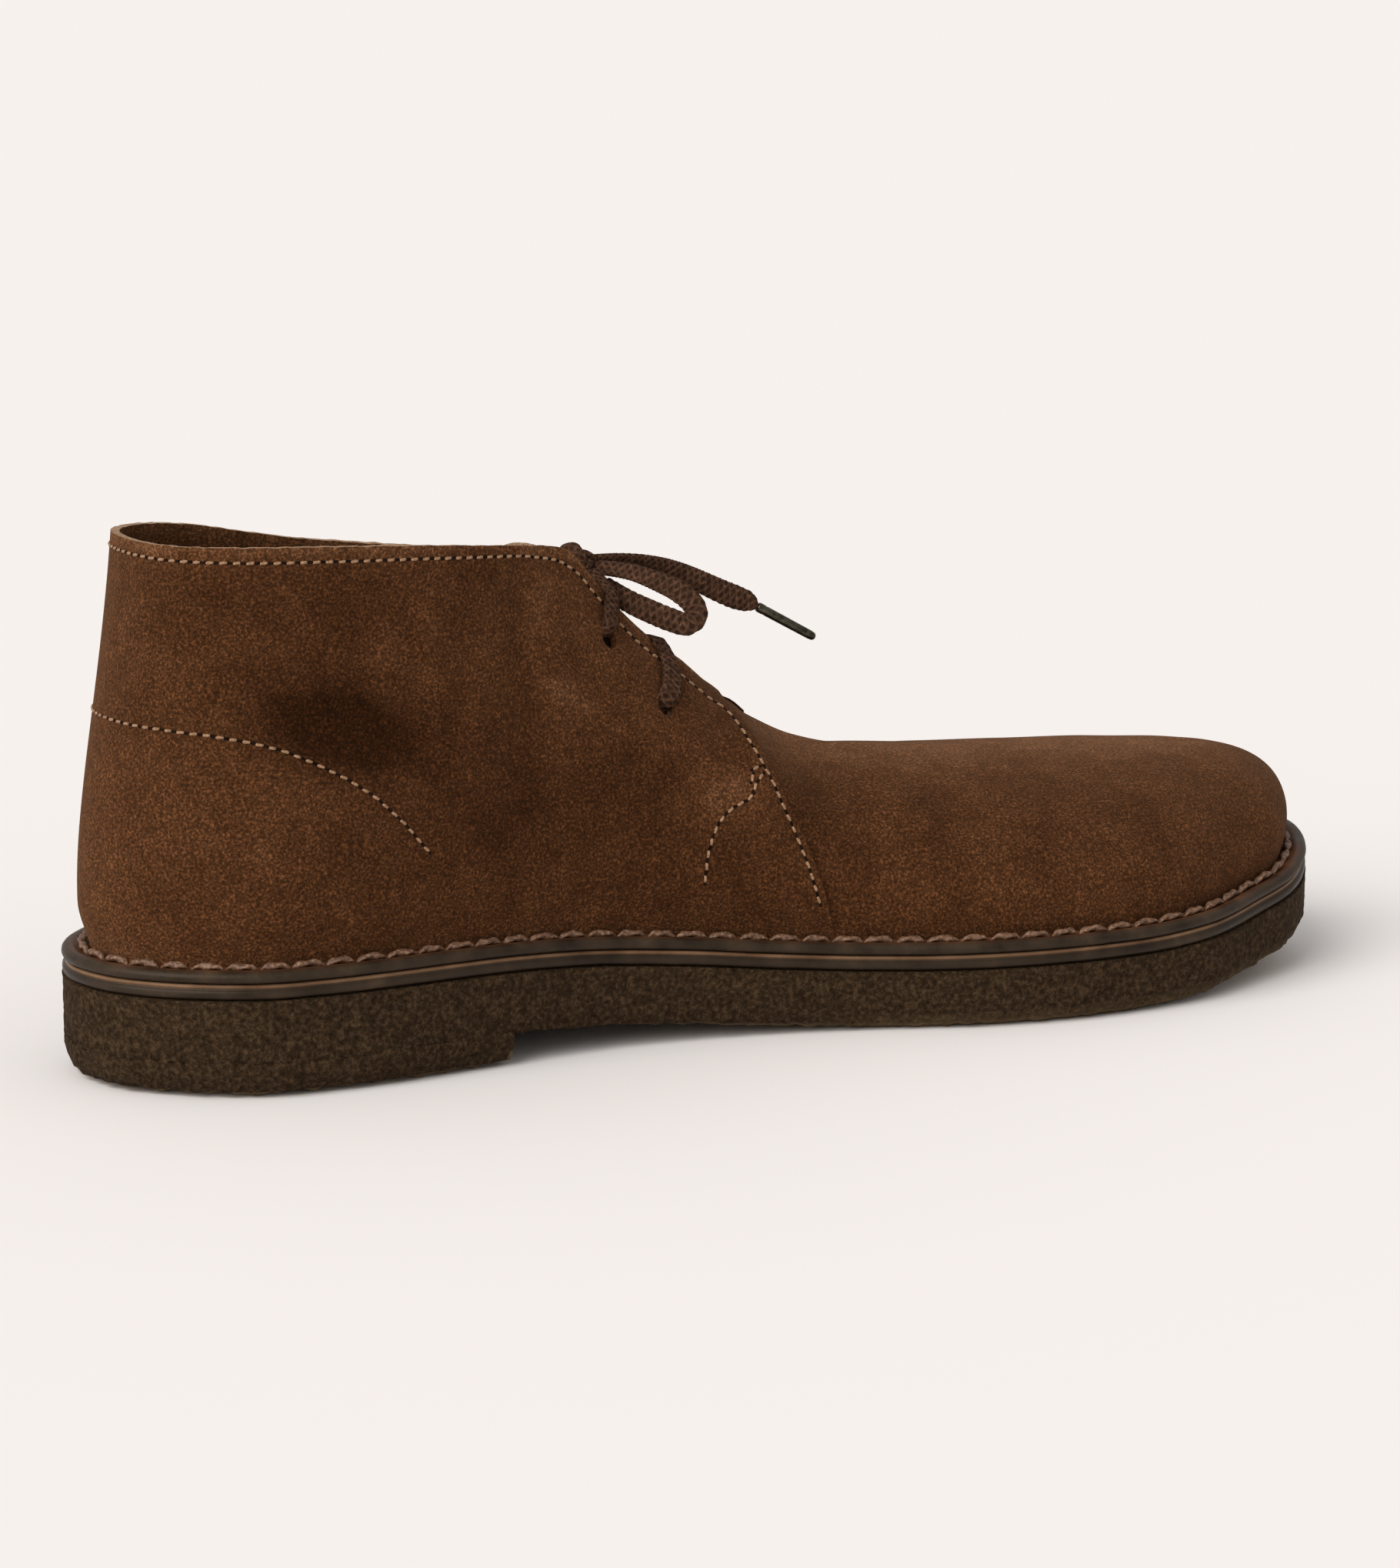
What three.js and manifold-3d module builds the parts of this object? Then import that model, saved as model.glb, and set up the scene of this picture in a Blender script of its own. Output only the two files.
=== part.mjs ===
// A left desert boot: suede upper, leather welt and midsole, crepe sole, two eyelets a side.
// Modelled with X from the heel's back to the toe, Y to the outer side and Z up, in millimetres.
import * as THREE from "three";
import { mergeVertices } from "three/addons/utils/BufferGeometryUtils.js";
import Module from "manifold-3d";

const wasm = await Module();
wasm.setup();

// Driving sizes
const footLength = 300; // outsole, heel to toe
const ballWidth = 108.4; // outsole across the ball
const instepHeight = 48.5; // throat's base above the welt
const collarRise = 37.8; // collar above the throat's base
const collarDip = 6; // how much lower the collar is on the outer side
const heelLiftHeight = 7.4;
const heelLiftReach = 90; // heel's back to the lift's breast
const heelBreastCurve = 3;
const toeSpring = 10;
const crepeThickness = 13.2;
const crepeBevel = 4.2;
const bevelTurn = 0.35; // the bevel's rounding: how far in its middle lies, as a share of it
const midsoleThickness = 3.2;
const weltThickness = 2.5;
const weltMargin = 5.5; // how far the welt stands out from the upper
const insoleThickness = 2.6;
const upperWall = 1.8;
const quarterStep = 1.5; // the quarters lie over the vamp
const tongueThickness = 1.8;
const eyeletRadius = 2.3;
const laceRadius = 1.5;
const laceLift = laceRadius + 0.65; // how far a lace's middle lies over the quarters
const knotWidth = 12;
const agletLength = 15;
const agletRadius = 1.1;
const gap = 0.3; // between pieces that meet

// Outline of the sole, as shares of the foot's length and the ball's width
const outlineRows = table("at lateral medial", [
  [0, 0, 0],
  [0.01, 0.115, 0.115],
  [0.03, 0.193, 0.193],
  [0.06, 0.26, 0.265],
  [0.1, 0.323, 0.323],
  [0.14, 0.34, 0.34],
  [0.19, 0.357, 0.342],
  [0.25, 0.38, 0.327],
  [0.35, 0.396, 0.297],
  [0.42, 0.421, 0.309],
  [0.49, 0.44, 0.347],
  [0.56, 0.461, 0.404],
  [0.63, 0.473, 0.48],
  [0.69, 0.47, 0.518],
  [0.76, 0.442, 0.527],
  [0.83, 0.388, 0.504],
  [0.89, 0.311, 0.435],
  [0.935, 0.236, 0.376],
  [0.968, 0.148, 0.284],
  [0.988, 0.073, 0.19],
  [0.997, 0.014, 0.118],
  [1, -0.047, 0.047],
]);

// Height of the outsole's underside, as shares of the heel lift and the toe spring
const riseRows = table("at heel toe", [
  [0, 1, 0],
  [0.18, 1, 0],
  [0.26, 0.96, 0],
  [0.34, 0.8, 0],
  [0.42, 0.52, 0],
  [0.5, 0.2, 0],
  [0.56, 0.04, 0],
  [0.6, 0, 0],
  [0.76, 0, 0],
  [0.83, 0, 0.1],
  [0.9, 0, 0.36],
  [0.95, 0, 0.65],
  [1, 0, 1],
]);

// Collar, throat and ridge of the upper: where each section ends at the top
const topRows = table("at reach medial lateral instep collar dip", [
  [0, 0.052, 0, 0, 1, 1, 0],
  [0.01, 0.0543, 0.068, 0.068, 1, 1, 0.01],
  [0.03, 0.063, 0.134, 0.134, 1, 1, 0.03],
  [0.06, 0.081, 0.187, 0.187, 1, 1, 0.08],
  [0.1, 0.11, 0.228, 0.228, 1, 0.998, 0.2],
  [0.14, 0.14, 0.249, 0.249, 1, 0.994, 0.4],
  [0.19, 0.178, 0.256, 0.256, 1, 0.98, 0.7],
  [0.25, 0.224, 0.249, 0.249, 1, 0.96, 0.95],
  [0.31, 0.273, 0.224, 0.224, 1, 0.932, 1],
  [0.36, 0.313, 0.189, 0.189, 1, 0.91, 0.98],
  [0.39, 0.338, 0.16, 0.16, 1, 0.896, 0.9],
  [0.405, 0.353, 0.14, 0.14, 1, 0.876, 0.8],
  [0.415, 0.365, 0.127, 0.127, 1, 0.836, 0.7],
  [0.425, 0.375, 0.12, 0.12, 1, 0.754, 0.6],
  [0.44, 0.3917, 0.111, 0.111, 1, 0.616, 0.45],
  [0.46, 0.42, 0.1, 0.1, 1, 0.41, 0.25],
  [0.48, 0.4567, 0.0886, 0.0886, 1, 0.222, 0.1],
  [0.4985, 0.493, 0.0738, 0.0738, 1, 0.03, 0],
  [0.5, 0.5, 0.009, -0.009, 0.99, 0, 0],
  [0.53, 0.533, 0.014, -0.014, 0.905, 0, 0],
  [0.56, 0.567, 0.019, -0.019, 0.815, 0, 0],
  [0.6, 0.61, 0.028, -0.028, 0.755, 0, 0],
  [0.63, 0.64, 0.035, -0.035, 0.736, 0, 0],
  [0.69, 0.7, 0.048, -0.048, 0.705, 0, 0],
  [0.76, 0.763, 0.058, -0.058, 0.682, 0, 0],
  [0.83, 0.817, 0.062, -0.062, 0.65, 0, 0],
  [0.89, 0.855, 0.062, -0.062, 0.61, 0, 0],
  [0.935, 0.878, 0.06, -0.06, 0.58, 0, 0],
  [0.968, 0.892, 0.058, -0.058, 0.556, 0, 0],
  [0.988, 0.9, 0.056, -0.056, 0.542, 0, 0],
  [1, 0.905, 0.055, -0.055, 0.53, 0, 0],
]);

// How each section leaves the welt and how it reaches its top, as shares of the ball's width and
// of the section's own height
const curveRows = table("at swell swellRise shoulder shoulderDrop", [
  [0, 0.028, 0.26, 0.034, 0.42],
  [0.1, 0.032, 0.27, 0.014, 0.42],
  [0.19, 0.034, 0.28, 0.005, 0.42],
  [0.31, 0.042, 0.3, 0.018, 0.38],
  [0.39, 0.05, 0.32, 0.05, 0.34],
  [0.44, 0.056, 0.34, 0.1, 0.28],
  [0.48, 0.06, 0.38, 0.16, 0.22],
  [0.5, 0.06, 0.42, 0.2, 0.12],
  [0.56, 0.06, 0.5, 0.25, 0.06],
  [0.63, 0.06, 0.55, 0.27, 0.03],
  [0.76, 0.055, 0.6, 0.27, 0.02],
  [0.89, 0.05, 0.62, 0.24, 0.02],
  [1, 0.04, 0.62, 0.2, 0.03],
]);

// The tongue under the throat: how much deeper than the quarters' inner face it lies, as shares of
// the upper's wall, and how far its middle stands up, as shares of its own thickness
const tongueRows = table("at drop crown", [
  [0.405, 0.25, 0.6],
  [0.415, 0.25, 0.6],
  [0.425, 0.25, 0.6],
  [0.44, 0.25, 0.6],
  [0.46, 0.35, 0.5],
  [0.48, 0.9, 0.1],
  [0.4985, 2.4, 0],
  [0.52, 0.9, 0],
]);

// Eyelets: section, and place on its curve from 0 at the welt to 1 at the top
const eyelets = { lower: { at: 0.464, up: 0.745 }, upper: { at: 0.431, up: 0.8 } };

// Rounded edges of midsole and welt: inset from the outline, and height as a share of the thickness
const midsoleEdge = [
  [1.3, 0],
  [0.3, 0.3],
  [0.3, 0.7],
  [1.1, 1],
];
const weltEdge = [
  [0.7, 0],
  [0, 0.45],
  [1.2, 1],
];

// Section just behind the quarters' front edge, and the first one of the bare vamp
const quarterFront = 0.4985;
const quarterGrowth = 0.13; // share of a section's curve over which the step grows from the welt
const vampStart = 0.5;

// The widest that two neighbouring sections lie apart, as a share of the length
const widestSection = 0.032;

const materials = {
  suede: { color: 0x5d3a24, roughness: 0.95 },
  tongueSuede: { color: 0x55341f, roughness: 0.95 },
  crepe: { color: 0x43352a, roughness: 0.9 },
  heelCrepe: { color: 0x4a3a2c, roughness: 0.9 },
  midsoleLeather: { color: 0x2c2019, roughness: 0.45 },
  weltLeather: { color: 0x3a281c, roughness: 0.55 },
  insoleLeather: { color: 0x9a7650, roughness: 0.7 },
  lace: { color: 0x3b261a, roughness: 0.85 },
  aglet: { color: 0x2a2620, roughness: 0.3 },
};

function table(columns, rows) {
  const names = columns.split(" ");
  return rows.map((row) => Object.fromEntries(names.map((name, i) => [name, row[i]])));
}

// Smooth value of one column, which never swings past the rows on either side
function read(rows, column, at) {
  const last = rows.length - 1;
  if (at <= rows[0].at) return rows[0][column];
  if (at >= rows[last].at) return rows[last][column];
  let i = 0;
  while (rows[i + 1].at < at) i += 1;
  const slope = (j) => (rows[j + 1][column] - rows[j][column]) / (rows[j + 1].at - rows[j].at);
  const tangent = (j) => {
    if (j === 0) return slope(0);
    if (j === last) return slope(last - 1);
    const before = slope(j - 1);
    const after = slope(j);
    return before * after <= 0 ? 0 : (2 * before * after) / (before + after);
  };
  const step = rows[i + 1].at - rows[i].at;
  const t = (at - rows[i].at) / step;
  const start = (1 + 2 * t) * (1 - t) ** 2 * rows[i][column] + t * (1 - t) ** 2 * step * tangent(i);
  const end = t * t * (3 - 2 * t) * rows[i + 1][column] + t * t * (t - 1) * step * tangent(i + 1);
  return start + end;
}

const outline = new THREE.CatmullRomCurve3(
  [
    ...outlineRows.map((row) => new THREE.Vector3(row.at * footLength, row.lateral * ballWidth, 0)),
    ...outlineRows
      .slice(1, -1)
      .reverse()
      .map((row) => new THREE.Vector3(row.at * footLength, -row.medial * ballWidth, 0)),
  ],
  true,
  "centripetal",
);

// A point of the outline and its outward normal; side is 1 on the outer side and -1 on the inner one
function outlineAt(side, at) {
  const last = outlineRows.length - 1;
  let i = 0;
  while (i < last - 1 && outlineRows[i + 1].at < at) i += 1;
  const part = (at - outlineRows[i].at) / (outlineRows[i + 1].at - outlineRows[i].at);
  const turn = (i + part) / (2 * last);
  const place = side > 0 ? turn : (1 - turn) % 1;
  const tangent = outline.getTangent(place);
  return { point: outline.getPoint(place), normal: new THREE.Vector3(-tangent.y, tangent.x, 0) };
}

function insetPoint(side, at, inset) {
  const { point, normal } = outlineAt(side, at);
  return point.addScaledVector(normal, -inset);
}

function rise(x) {
  const at = x / footLength;
  return heelLiftHeight * read(riseRows, "heel", at) + toeSpring * read(riseRows, "toe", at);
}

const heelGap = (x) => gap * read(riseRows, "heel", x / footLength);
const outsoleBottom = (x) => rise(x) + heelGap(x);
const outsoleTop = (x) => outsoleBottom(x) + crepeThickness;
const midsoleBottom = (x) => outsoleTop(x) + gap;
const midsoleTop = (x) => midsoleBottom(x) + midsoleThickness;
const weltBottom = (x) => midsoleTop(x) + gap;
const weltTop = (x) => weltBottom(x) + weltThickness;

// Outer face of the vamp's leather at one section; up runs from 0 at the welt to 1 at the top,
// and is negative on the short upright part inside the welt
function skinPoint(side, at, up) {
  const { normal } = outlineAt(side, at);
  const foot = insetPoint(side, at, weltMargin + gap);
  const footHeight = weltTop(foot.x);
  if (up < 0) return foot.setZ(weltBottom(foot.x));
  foot.setZ(footHeight);
  const half = side > 0 ? read(topRows, "lateral", at) : read(topRows, "medial", at);
  const reach = read(topRows, "reach", at) * footLength;
  const height = instepHeight * read(topRows, "instep", at) + collarRise * read(topRows, "collar", at);
  const dip = side > 0 ? collarDip * read(topRows, "dip", at) : 0;
  const top = new THREE.Vector3(reach, side * half * ballWidth, weltTop(reach) + height - dip);
  const tall = top.z - footHeight;
  const low = foot.clone().addScaledVector(normal, read(curveRows, "swell", at) * ballWidth);
  low.z += read(curveRows, "swellRise", at) * tall;
  const high = top.clone().addScaledVector(normal, read(curveRows, "shoulder", at) * ballWidth);
  high.z -= read(curveRows, "shoulderDrop", at) * tall;
  return new THREE.CubicBezierCurve3(foot, low, high, top).getPoint(up);
}

function skinNormal(side, at, up) {
  const step = 0.004;
  const along = skinPoint(side, at + step, up).sub(skinPoint(side, at - step, up));
  const higher = skinPoint(side, at, Math.min(1, up + step)).sub(skinPoint(side, at, up - step));
  return along.cross(higher).multiplyScalar(-side).normalize();
}

// A point that floats over the quarters' outer face
function overQuarter(side, at, up, lift) {
  const normal = skinNormal(side, at, up);
  return skinPoint(side, at, up).addScaledVector(normal, quarterStep + lift);
}

function geometryOf(points, faces) {
  const geometry = new THREE.BufferGeometry();
  const flat = points.flatMap((point) => [point.x, point.y, point.z]);
  geometry.setAttribute("position", new THREE.Float32BufferAttribute(flat, 3));
  geometry.setIndex(faces.flat());
  const merged = mergeVertices(geometry, 1e-3);
  const index = [...merged.index.array];
  const kept = [];
  for (let i = 0; i < index.length; i += 3) {
    const [a, b, c] = index.slice(i, i + 3);
    if (a !== b && b !== c && c !== a) kept.push(a, b, c);
  }
  merged.setIndex(kept);
  return merged;
}

const quad = (a, b, c, d) => [
  [a, b, c],
  [a, c, d],
];

// Gives an open skin a wall: outer and inner face at their own offsets, joined along each free edge
function thicken(skin, outward, inward) {
  skin.computeVertexNormals();
  const position = skin.attributes.position;
  const normal = skin.attributes.normal;
  const count = position.count;
  const points = [];
  for (const offset of [outward, (point) => -inward(point)]) {
    for (let i = 0; i < count; i += 1) {
      const point = new THREE.Vector3().fromBufferAttribute(position, i);
      const away = new THREE.Vector3().fromBufferAttribute(normal, i);
      points.push(point.clone().addScaledVector(away, offset(i)));
    }
  }
  const index = skin.index.array;
  const faces = [];
  const edges = new Map();
  for (let i = 0; i < index.length; i += 3) {
    const [a, b, c] = index.slice(i, i + 3);
    faces.push([a, b, c], [count + c, count + b, count + a]);
    for (const [from, to] of [[a, b], [b, c], [c, a]]) {
      if (!edges.delete(`${to} ${from}`)) edges.set(`${from} ${to}`, [from, to]);
    }
  }
  for (const [from, to] of edges.values()) faces.push(...quad(to, from, count + from, count + to));
  return geometryOf(points, faces);
}

// A sheet over sections and places up them, for one side or both; spots of both sides that meet merge
function skinOf(ups, place) {
  const points = [];
  const faces = [];
  for (const side of [1, -1]) {
    const start = points.length;
    for (const at of sections) for (const up of ups) points.push(place(side, at, up));
    for (let i = 0; i + 1 < sections.length; i += 1) {
      for (let j = 0; j + 1 < ups.length; j += 1) {
        const a = start + i * ups.length + j;
        const b = a + ups.length;
        faces.push(...(side > 0 ? quad(a, a + 1, b + 1, b) : quad(a, b, b + 1, a + 1)));
      }
    }
  }
  return geometryOf(points, faces);
}

// Sections that upper and sole share: the rows of both tables, and one more where rows lie far apart
const rowPlaces = [...new Set([...outlineRows, ...topRows].map((row) => row.at))].sort((a, b) => a - b);
const sections = rowPlaces.flatMap((place, i) => {
  const before = rowPlaces[i - 1] ?? 0;
  return place - before > widestSection ? [(place + before) / 2, place] : [place];
});

function makeUpper() {
  const ups = [-1, 0, 0.06, 0.13, 0.21, 0.3, 0.4, 0.51, 0.62, 0.73, 0.84, 0.93, 1];
  const skin = skinOf(ups, skinPoint);
  const raised = new Map();
  const position = skin.attributes.position;
  const spots = new Map();
  const key = (point) => `${point.x.toFixed(2)} ${point.y.toFixed(2)} ${point.z.toFixed(2)}`;
  for (let i = 0; i < position.count; i += 1) {
    spots.set(key(new THREE.Vector3().fromBufferAttribute(position, i)), i);
  }
  for (const side of [1, -1]) {
    for (const at of sections.filter((place) => place <= quarterFront)) {
      for (const up of ups) {
        const grown = THREE.MathUtils.smoothstep(up, 0, quarterGrowth);
        raised.set(spots.get(key(skinPoint(side, at, up))), grown * quarterStep);
      }
    }
  }
  const shell = thicken(
    skin,
    (i) => raised.get(i) ?? 0,
    () => upperWall,
  );
  const punchLength = 8 * upperWall;
  let solid = solidOf(shell);
  for (const side of [1, -1]) {
    for (const { at, up } of Object.values(eyelets)) {
      const punch = new THREE.CylinderGeometry(eyeletRadius, eyeletRadius, punchLength, 12);
      const turn = new THREE.Quaternion().setFromUnitVectors(
        new THREE.Vector3(0, 1, 0),
        skinNormal(side, at, up),
      );
      punch.applyQuaternion(turn);
      const centre = skinPoint(side, at, up);
      punch.translate(centre.x, centre.y, centre.z);
      solid = solid.subtract(solidOf(punch));
    }
  }
  return geometryFrom(solid);
}

function solidOf(geometry) {
  const bare = geometry.clone();
  bare.deleteAttribute("normal");
  bare.deleteAttribute("uv");
  const merged = mergeVertices(bare, 1e-3);
  return new wasm.Manifold(
    new wasm.Mesh({
      numProp: 3,
      vertProperties: new Float32Array(merged.attributes.position.array),
      triVerts: new Uint32Array(merged.index.array),
    }),
  );
}

function geometryFrom(solid) {
  const mesh = solid.getMesh();
  const geometry = new THREE.BufferGeometry();
  geometry.setAttribute("position", new THREE.Float32BufferAttribute(mesh.vertProperties, 3));
  geometry.setIndex([...mesh.triVerts]);
  return geometry;
}

// The tongue follows the quarters' inner face under both edges and arches over the throat
function makeTongue() {
  const under = [0.86, 0.91, 0.96, 1];
  const archLean = 0.6;
  const points = [];
  for (const { at, drop, crown } of tongueRows) {
    const depth = upperWall * (1 + drop) + gap;
    const flank = (side, up) => {
      const normal = skinNormal(side, at, up);
      return skinPoint(side, at, up).addScaledVector(normal, -depth);
    };
    const inner = under.map((up) => flank(-1, up));
    const outer = under.map((up) => flank(1, up)).reverse();
    const middle = inner.at(-1).clone().add(outer[0]).multiplyScalar(0.5);
    middle.x += archLean * crown * tongueThickness;
    middle.z += crown * tongueThickness;
    if (at >= vampStart) points.push(...inner.slice(0, -1), middle, middle, middle, ...outer.slice(1));
    else points.push(...inner, middle, ...outer);
  }
  const across = 2 * under.length + 1;
  const faces = [];
  for (let i = 0; i + 1 < tongueRows.length; i += 1) {
    for (let j = 0; j + 1 < across; j += 1) {
      const a = i * across + j;
      faces.push(...quad(a, a + across, a + across + 1, a + 1));
    }
  }
  return thicken(
    geometryOf(points, faces),
    () => 0,
    () => tongueThickness,
  );
}

// Stacks rings round the outline, each with its own inset and height, and closes the stack
function loft(rings, closed) {
  const loop = [
    ...sections.map((at) => [1, at]),
    ...sections
      .slice(1, -1)
      .reverse()
      .map((at) => [-1, at]),
  ];
  const points = rings.flatMap(({ inset, height }) =>
    loop.map(([side, at]) => {
      const amount = typeof inset === "function" ? inset(at) : inset;
      const point = insetPoint(side, at, amount);
      return point.setZ(height(point.x));
    }),
  );
  const faces = [];
  const count = loop.length;
  const bands = closed ? rings.length : rings.length - 1;
  for (let ring = 0; ring < bands; ring += 1) {
    const above = ((ring + 1) % rings.length) * count;
    for (let i = 0; i < count; i += 1) {
      const next = (i + 1) % count;
      faces.push(...quad(ring * count + i, above + i, above + next, ring * count + next));
    }
  }
  if (!closed) {
    const lid = (rings.length - 1) * count;
    for (let i = 0; i + 1 < sections.length; i += 1) {
      const a = i;
      const b = i + 1;
      const c = (count - b) % count;
      const d = (count - a) % count;
      faces.push(...quad(a, b, c, d), ...quad(lid + d, lid + c, lid + b, lid + a));
    }
  }
  return geometryOf(points, faces);
}

function makeOutsole() {
  const bevel = (at) => crepeBevel * (1 - read(riseRows, "heel", at));
  const low = outsoleBottom;
  return loft([
    { inset: bevel, height: low },
    { inset: (at) => bevelTurn * bevel(at), height: (x) => low(x) + bevelTurn * bevel(x / footLength) },
    { inset: 0, height: (x) => low(x) + crepeBevel },
    { inset: 0, height: outsoleTop },
  ]);
}

// The lift is the outline from the heel's back to the breast, with a rounded lower edge
function makeHeelLift() {
  const breast = (heelLiftReach - heelBreastCurve) / footLength;
  const places = [...sections.filter((at) => at < breast - widestSection / 2), breast];
  const rings = [
    [crepeBevel, 0],
    [bevelTurn * crepeBevel, bevelTurn * crepeBevel],
    [0, crepeBevel],
    [0, null],
  ];
  const bows = [-0.6, 0, 0.6];
  const points = rings.flatMap(([inset, height]) => {
    const level = (point) => point.setZ(height ?? rise(point.x));
    const side = (turn) => places.map((at) => level(insetPoint(turn, at, inset)));
    const outer = side(1);
    const inner = side(-1).slice(1).reverse();
    const front = bows.map((bow) => {
      const middle = outer.at(-1).clone().lerp(inner[0], (1 - bow) / 2);
      middle.x += heelBreastCurve * (1 - bow * bow);
      return level(middle);
    });
    return [...outer, ...front.reverse(), ...inner];
  });
  const count = points.length / rings.length;
  const faces = [];
  for (let ring = 0; ring + 1 < rings.length; ring += 1) {
    for (let i = 0; i < count; i += 1) {
      const next = (i + 1) % count;
      const low = ring * count;
      const high = low + count;
      faces.push(...quad(low + i, high + i, high + next, low + next));
    }
  }
  const lidOf = (start) => {
    const ring = points.slice(start, start + count).map((point) => new THREE.Vector2(point.x, point.y));
    return THREE.ShapeUtils.triangulateShape(ring, []).map((face) => face.map((i) => start + i));
  };
  for (const face of lidOf(0)) faces.push(face.reverse());
  faces.push(...lidOf(points.length - count));
  return geometryOf(points, faces);
}

function edgeRings(edge, bottom, thickness) {
  return edge.map(([inset, share]) => ({ inset, height: (x) => bottom(x) + share * thickness }));
}

function makeMidsole() {
  return loft(edgeRings(midsoleEdge, midsoleBottom, midsoleThickness));
}

function makeWelt() {
  const hole = [weltTop, weltBottom].map((height) => ({ inset: weltMargin, height }));
  return loft([...edgeRings(weltEdge, weltBottom, weltThickness), ...hole], true);
}

function makeInsole() {
  const inset = weltMargin + gap + upperWall + gap;
  return loft([
    { inset, height: weltBottom },
    { inset, height: (x) => weltBottom(x) + insoleThickness },
  ]);
}

// A cord along points, with its cut ends closed
function cord(points, radius, steps) {
  const section = new THREE.Shape();
  section.absarc(0, 0, radius, 0, 2 * Math.PI);
  return new THREE.ExtrudeGeometry(section, {
    steps,
    curveSegments: 4,
    bevelEnabled: false,
    extrudePath: new THREE.CatmullRomCurve3(points),
  });
}

const spot = (x, y, z) => new THREE.Vector3(x, y, z);

// The lower crossing, from eyelet to eyelet over both edges
function makeLowerLace() {
  const { at: section, up } = eyelets.lower;
  const ups = [up, up + 0.1, 1];
  const near = ups.map((place) => overQuarter(-1, section, place, laceLift));
  const far = ups.map((place) => overQuarter(1, section, place, laceLift)).reverse();
  return cord([...near, ...far], laceRadius, 14);
}

// The knot lies between the quarters' edges, a little towards the inner side
const throat = overQuarter(-1, eyelets.upper.at - 0.006, 1, 0);
const knot = spot(throat.x + 2.2, -4, throat.z + 1.6);

function makeKnot() {
  const lump = new THREE.SphereGeometry(knotWidth / 2, 12, 8);
  lump.scale(0.6, 1, 0.56);
  lump.rotateY(0.7);
  lump.translate(knot.x, knot.y, knot.z);
  return lump;
}

// One strand from an upper eyelet, over the quarter's edge, to the knot's side
function makeUpperStrand(side) {
  const { at: section, up } = eyelets.upper;
  const edgeLift = 0.7;
  const start = overQuarter(side, section, up, laceLift);
  const flank = overQuarter(side, section - 0.002, (up + 1) / 2, laceLift);
  const edge = overQuarter(side, section - 0.004, 1, laceLift + edgeLift);
  const end = knot.clone();
  end.y += side * (knotWidth / 2 + 2 * gap);
  return cord([start, flank, edge, end], laceRadius, 12);
}

// Routes of the bow, chosen by hand; the near loop and end are the ones towards the inner side
const nearLoop = [
  spot(119.6, -7.6, 102.8),
  spot(122.8, -11.8, 102.6),
  spot(126.4, -16.6, 101.9),
  spot(131.2, -20, 99.9),
  spot(135.9, -22.2, 96.4),
  spot(138.6, -23, 92.4),
  spot(138, -22.4, 89),
  spot(134.6, -20.6, 88),
  spot(129.4, -17.2, 90.8),
  spot(124.8, -13, 94.2),
  spot(121.6, -9.4, 97.4),
  spot(119.8, -6.6, 98.8),
];
const farLoop = [
  spot(119.4, 2, 102.6),
  spot(122, 6.5, 100.4),
  spot(124.4, 12.5, 96),
  spot(126.6, 18.5, 89),
  spot(128.4, 24, 81.6),
  spot(128.4, 28.4, 75.6),
  spot(126.2, 30.4, 72.6),
  spot(123.6, 29.8, 74),
  spot(122.2, 26.6, 79.4),
  spot(121.2, 21.8, 86),
  spot(120.4, 15.8, 93),
  spot(119.6, 9.6, 97.4),
  spot(118.6, 4.4, 99.2),
];
const nearEnd = [
  spot(119.6, -4.2, 103.2),
  spot(125.5, -4, 103.2),
  spot(132, -3.6, 101.9),
  spot(139.3, -3.2, 99.4),
  spot(149.2, -4, 95.1),
  spot(159.3, -5, 89.8),
];
const farEnd = [
  spot(120.6, -1.4, 100.2),
  spot(124, 4, 96.6),
  spot(129, 11, 92),
  spot(133, 17, 86.2),
  spot(136, 23, 79.2),
  spot(138.4, 28.4, 71),
];

function makeAglet(points) {
  const tip = points.at(-1);
  const direction = tip.clone().sub(points.at(-2)).normalize();
  const start = tip.clone().addScaledVector(direction, gap);
  const end = start.clone().addScaledVector(direction, agletLength);
  return cord([start, start.clone().lerp(end, 0.5), end], agletRadius, 2);
}

const boot = new THREE.Group();

function add(name, geometry, material) {
  const mesh = new THREE.Mesh(geometry, new THREE.MeshStandardMaterial(materials[material]));
  mesh.name = name;
  boot.add(mesh);
}

add("heel_lift", makeHeelLift(), "heelCrepe");
add("outsole", makeOutsole(), "crepe");
add("midsole", makeMidsole(), "midsoleLeather");
add("welt", makeWelt(), "weltLeather");
add("insole", makeInsole(), "insoleLeather");
add("upper", makeUpper(), "suede");
add("tongue", makeTongue(), "tongueSuede");
add("lace_lower", makeLowerLace(), "lace");
add("strand_near", makeUpperStrand(-1), "lace");
add("strand_far", makeUpperStrand(1), "lace");
add("lace_knot", makeKnot(), "lace");
add("loop_near", cord(nearLoop, laceRadius, 22), "lace");
add("loop_far", cord(farLoop, laceRadius, 22), "lace");
add("end_near", cord(nearEnd, laceRadius, 12), "lace");
add("end_far", cord(farEnd, laceRadius, 10), "lace");
add("aglet_near", makeAglet(nearEnd), "aglet");
add("aglet_far", makeAglet(farEnd), "aglet");

// The origin is on the ground, under the middle of the boot's box
boot.updateMatrixWorld(true);
const box = new THREE.Box3().setFromObject(boot);
boot.position.set(-(box.min.x + box.max.x) / 2, -(box.min.y + box.max.y) / 2, -box.min.z);

const group = new THREE.Group();
group.add(boot);
export default group;
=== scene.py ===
import math

import bmesh
import bpy
import numpy as np
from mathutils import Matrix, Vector, noise
from mathutils.bvhtree import BVHTree


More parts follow.
